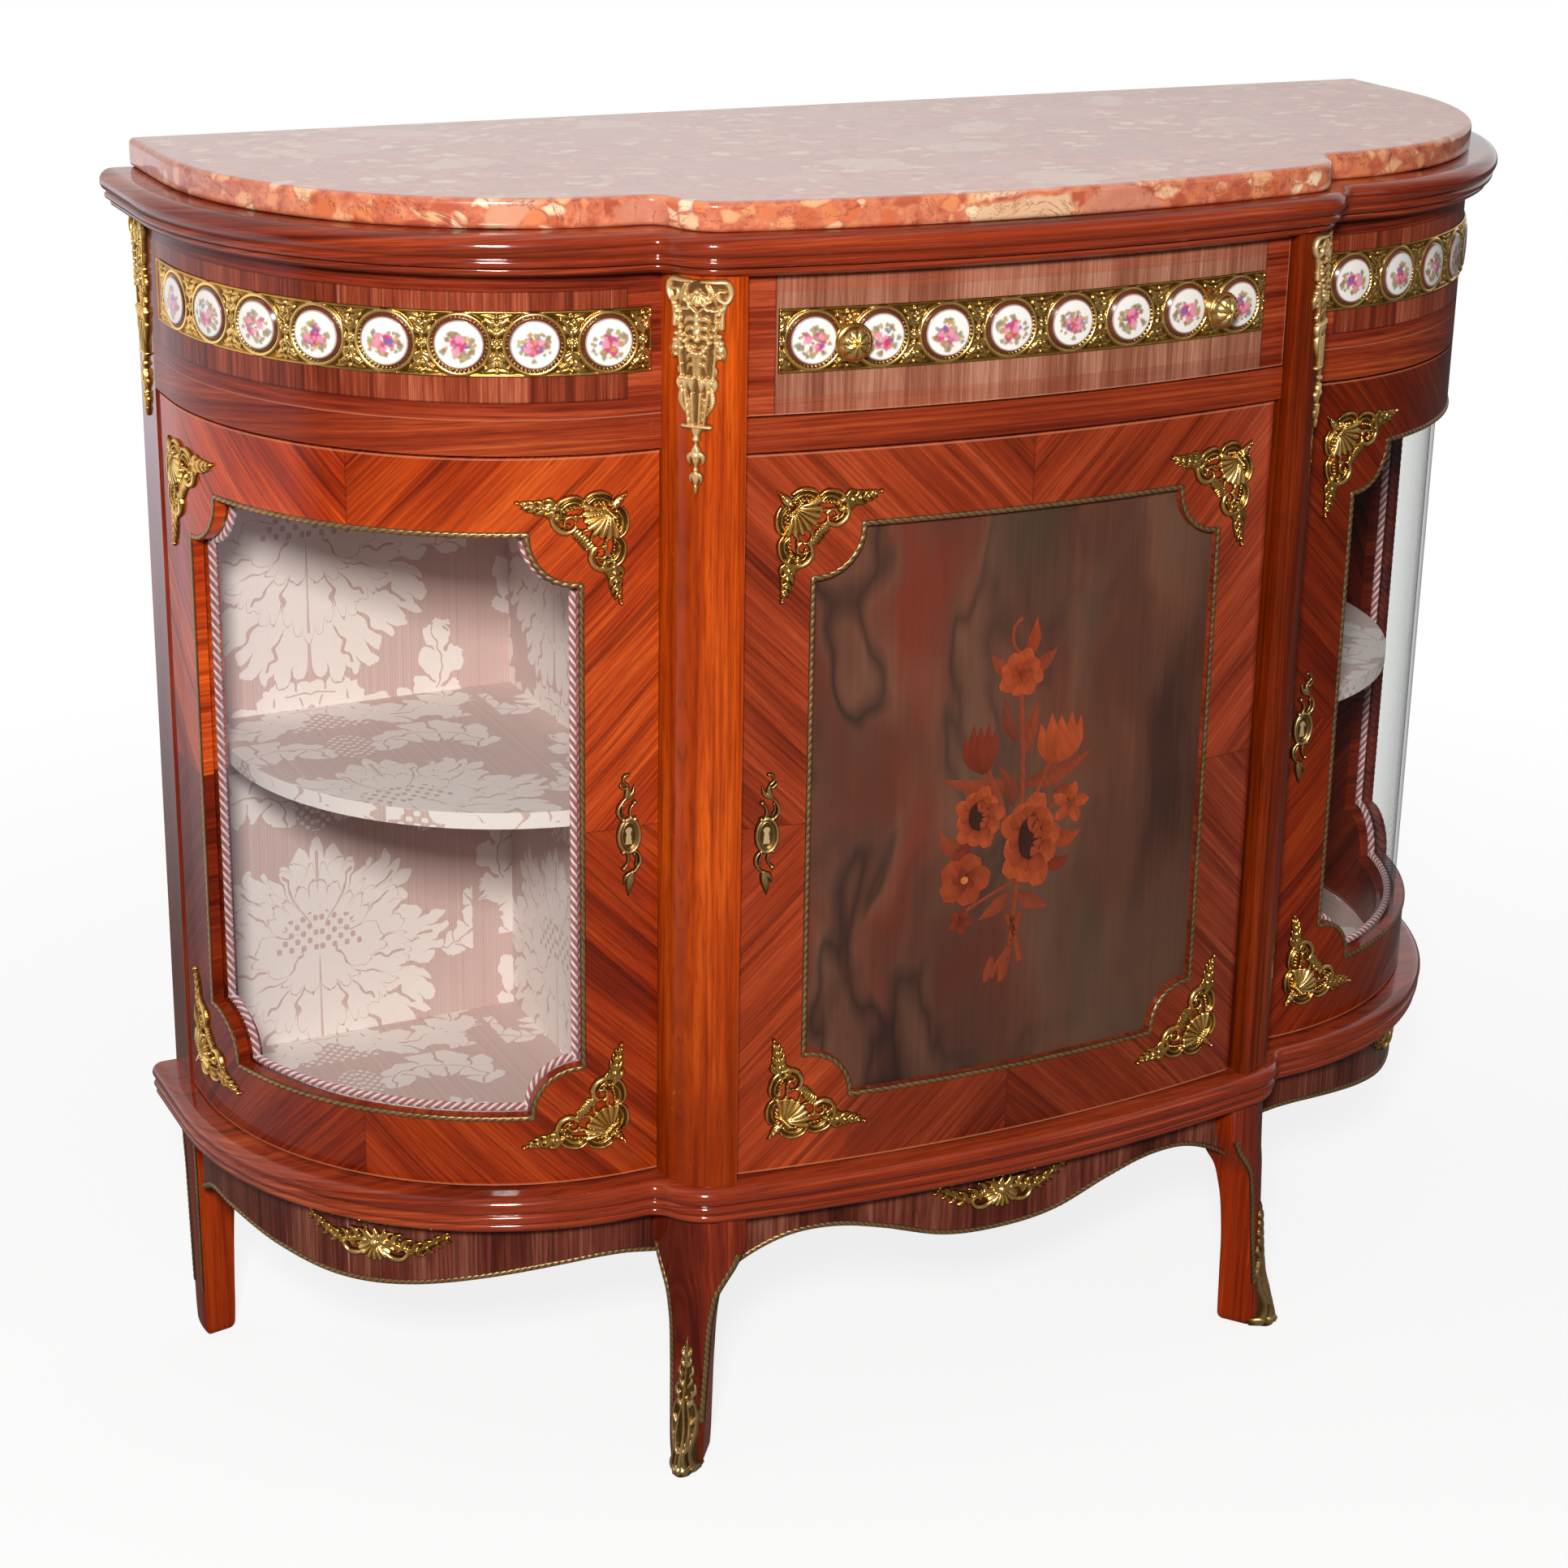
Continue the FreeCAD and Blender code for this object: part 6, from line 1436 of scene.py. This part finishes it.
for line, width in (([(1, 392), (5, 470), (4, 540), (0, 608)], 1.5), ([(3, 440), (14, 500), (30, 546)], 1.3),
                    ([(1, 440), (-12, 505), (-29, 548)], 1.2), ([(6, 470), (30, 495), (48, 508)], 1.1),
                    ([(0, 430), (-20, 420), (-38, 410)], 1.1), ([(2, 634), (-7, 648), (-7, 664), (-1, 671)], 1.1),
                    ([(8, 400), (2, 376), (-16, 343)], 1.9), ([(2, 398), (0, 372), (-5, 341)], 1.8),
                    ([(-4, 400), (4, 378), (9, 353)], 1.7)):
    inlaid(b, [(x, drawn_in(z)) for x, z in line], [width * v for v in (1.4, 1.2, 1.3, 1.5)], "leaf", 0.5, 0.1)
for x, z in ((-17, 356), (-5, 354)):
    inlaid(b, [(x + 2, z + 14), (x, z + 5), (x - 3, z - 5)], [1.8, 3.4, 3.6, 1.2], "leaf", 1.0, 0.1)
inlaid(b, [(3, 596), (9, 608), (11, 626)], [1.4, 4.6, 5.0, 2.6, 0.1], "warm", 0.8)
petals(b, 0, 585, 3.5, 18.0, 8, 6.8, "bright", 1.2, 0.2)
petals(b, 0, 585, 1.5, 9.5, 6, 3.6, "warm", 2.2, 0.5)
disc(b, 0, 585, 2.6, "dim", 3.2)
for cx, flip, tone, slim in ((35, 1, "bright", 1.0), (-31, -1, "dim", 0.72)):
    for dx, top, width in ((-17, 545, 5.6), (17, 547, 5.6), (-8, 552, 6.4), (9, 551, 6.4), (0, 549, 7.6)):
        dx, width = dx * slim, width * slim
        inlaid(b, [(cx - 4 * flip, 514), (cx + dx * 0.8, 528), (cx + dx, top)],
               [2.0, width * 0.95, width, width * 0.6, 0.2], tone, 1.2 + 0.2 * (abs(dx) < 10) + 0.2 * (dx == 0), 0.3)
for cx, cz, size, squash in ((-30, 480, 23.0, 0.84), (13, 456, 35.0, 0.66)):
    petals(b, cx, cz, size * 0.45, size, 10, size * 0.27, "bright", 1.6, 0.15, squash, 0.45)
    petals(b, cx, cz + size * 0.05, size * 0.42, size * 0.78, 9, size * 0.2, "warm", 2.2, 0.5, squash, 0.4)
    disc(b, cx, cz + size * 0.08, size * 0.5, "core", 2.9, squash * 0.86)
    for k in range(5):
        w = 0.55 + 0.62 * k
        x0, z0 = cx + size * 0.42 * math.sin(w) * squash, cz + size * (0.08 - 0.47 * math.cos(w))
        inlaid(b, [(x0, z0), (cx + (x0 - cx) * 0.62, z0 + (cz - z0) * 0.35),
                   (cx + (x0 - cx) * 0.3, z0 + (cz - z0) * 0.62)],
               [size * 0.1, size * 0.11, size * 0.075, 0.2], "warm", 3.5, 0.2)
petals(b, -40, 434, 3.0, 21.0, 5, 10.2, "warm", 1.8, 0.3, 1.05, 0.5)
petals(b, -40, 434, 1.5, 9.0, 5, 3.6, "dim", 2.6, 0.9)
disc(b, -40, 434, 3.0, "gold", 3.4)
petals(b, 46, 480, 1.5, 16.0, 5, 4.6, "bright", 1.8, 0.1, 1.0, 0.03)
petals(b, -42, 402, 1.0, 11.0, 5, 3.6, "dim", 1.4, 0.4, 1.0, 0.2)
b.make("bouquet", MAT["inlay"], "door_centre", "marquetry")

# ---------------------------------------------------------------- drawer knobs
# A turned profile, with four and eight petals on its face and a milled rim.
b = Build()
profile = curve([(9.2, 0.0), (9.4, 1.4), (7.4, 3.0), (5.2, 5.0), (5.4, 8.5), (8.0, 10.6), (12.2, 12.0), (13.0, 13.6),
                 (12.0, 15.2), (11.2, 15.4), (9.6, 18.0), (6.0, 20.6), (2.4, 21.8), (0.05, 22.0)], 5)
turn = np.linspace(0, 2 * math.pi, 64, endpoint=False)
r, out = profile[:, :1], profile[:, 1:]
face = np.clip((out - 15.3) / 0.6, 0, 1) * np.clip((r - 0.5) / 1.5, 0, 1)
petal = np.abs(np.sin(turn * 4))[None] * face * 1.3 + np.abs(np.sin(turn * 8 + r * 0.8)) * face * 0.5
rim = np.clip(1 - np.abs(out - 13.6) / 1.2, 0, 1) * np.abs(np.sin(turn * 16))[None] * 0.5
P, Q = (r + rim) * np.cos(turn)[None], (r + rim) * np.sin(turn)[None]
out = out + petal - 0.6 * face
for x in (-KNOB_A, KNOB_A):
    ux, ud = math.sin(x / BOW_R), math.cos(x / BOW_R)
    points = row(BOW_R * ux + out * ux + P * ud, BOW_D + BOW_R * ud + out * ud - P * ux, BAND_Z + Q)
    b.grid(points, np.clip(0.45 + petal * 0.55 + rim - 0.3 * face, 0, 1), closed=(False, True))
b.make("knobs", MAT["gilt"], "drawer", "gilt", "drawer_knobs")


# ---------------------------------------------------------------- floor, camera, light
def grey(v):
    """A grey that is given as light."""
    return (v, v, v, 1.0)


floor = material("floor")
path = floor.node("LightPath")
see, mirrored = (Sock(floor, path.socket.node.outputs[k]) for k in ("Is Camera Ray", "Is Glossy Ray"))
fx, fy, _ = floor.place()
far = (fx * fx + fy * fy).sqrt().ramp01(0.6, 1.7)
# Painted reflection: for glossy rays a patch of floor at the back left glows lilac and brighter than white, though it
# is no lamp, to show as a pale haze on the left stile and doors.
bright = (fx * -1.0).ramp01(0.7, 1.3) * fy.ramp01(-0.4, 0.3) * mirrored
soft = floor.node("BsdfDiffuse", {"Color": floor.mix(see, (0.22, 0.2, 0.19, 1.0), grey(0.9))})
glow = floor.node("Emission", {"Color": floor.mix(see, (1.3, 1.2, 1.3, 1.0), grey(1.0)), "Strength": 1.0})
share = (see * (far * 0.18 + 0.82)).top(bright)
floor.node("OutputMaterial", {0: floor.node("MixShader", {0: share, 1: soft, 2: glow})})
data = bpy.data.meshes.new("floor")
data.from_pydata([(-9, -9, 0), (9, -9, 0), (9, 9, 0), (-9, 9, 0)], [], [(0, 1, 2, 3)])
data.materials.append(floor.data)
ground = placed("floor", data)

cam = bpy.data.cameras.new("camera")
cam.sensor_width, cam.lens = 36.0, 72.785
cam.shift_x, cam.shift_y = -0.07221, -0.03411
pitch, yaw, tilt = 0.340109, 0.495086, 0.03047
ahead = Vector((math.sin(yaw) * math.cos(pitch), math.cos(yaw) * math.cos(pitch), -math.sin(pitch)))
right = Vector((math.cos(yaw), -math.sin(yaw), 0))
up = right.cross(ahead)
right2 = right * math.cos(tilt) + up * math.sin(tilt)
up2 = up * math.cos(tilt) - right * math.sin(tilt)
turned = Matrix((right2, up2, -ahead)).transposed().to_4x4()
scene.camera = placed("camera", cam)
scene.camera.matrix_world = Matrix.Translation((-1.084122, -1.996271, 1.290377)) @ turned


def lamp(name, place, aim, size, power, colour=(1.0, 0.97, 0.93)):
    """A square lamp, turned from its place to what it aims at."""
    light = bpy.data.lights.new(name, "AREA")
    light.shape, light.size, light.size_y = "RECTANGLE", size, size
    light.energy, light.color = power, colour
    turned = (Vector(aim) - Vector(place)).to_track_quat("-Z", "Y").to_matrix().to_4x4()
    placed(name, light).matrix_world = Matrix.Translation(place) @ turned


lamp("key", (-1.3, -2.2, 1.8), (0.0, 0.0, 0.6), 0.36, 84.0)
lamp("fill", (2.3, -2.5, 1.8), (0.1, 0.0, 0.6), 1.2, 3.0, (0.95, 0.97, 1.0))
world = Tree(bpy.data.worlds.new("studio"))
scene.world = world.data
rays = world.node("LightPath").socket.node
camera_ray, glossy, through = (Sock(world, rays.outputs[k])
                               for k in ("Is Camera Ray", "Is Glossy Ray", "Is Transmission Ray"))
dx, dy, dz = world.split(world.node("TexCoord", out=0))
behind = (dy + dz * 0.25).ramp01(-0.05, 0.3)
room = world.mix(dz.ramp01(-0.1, 0.9), rgb(52, 47, 44), rgb(126, 126, 128))
backdrop = world.mix(glossy, grey(0.5), grey(0.9))
shade = world.node("Background", {0: world.mix(behind, room, backdrop), 1: 1.0})
white = world.node("Background", {0: grey(1.0), 1: 1.0})
world.node("OutputWorld", {0: world.node("MixShader", {0: camera_ray.top(through), 1: shade, 2: white})})

scene.view_settings.view_transform = "Standard"
bpy.context.view_layer.update()
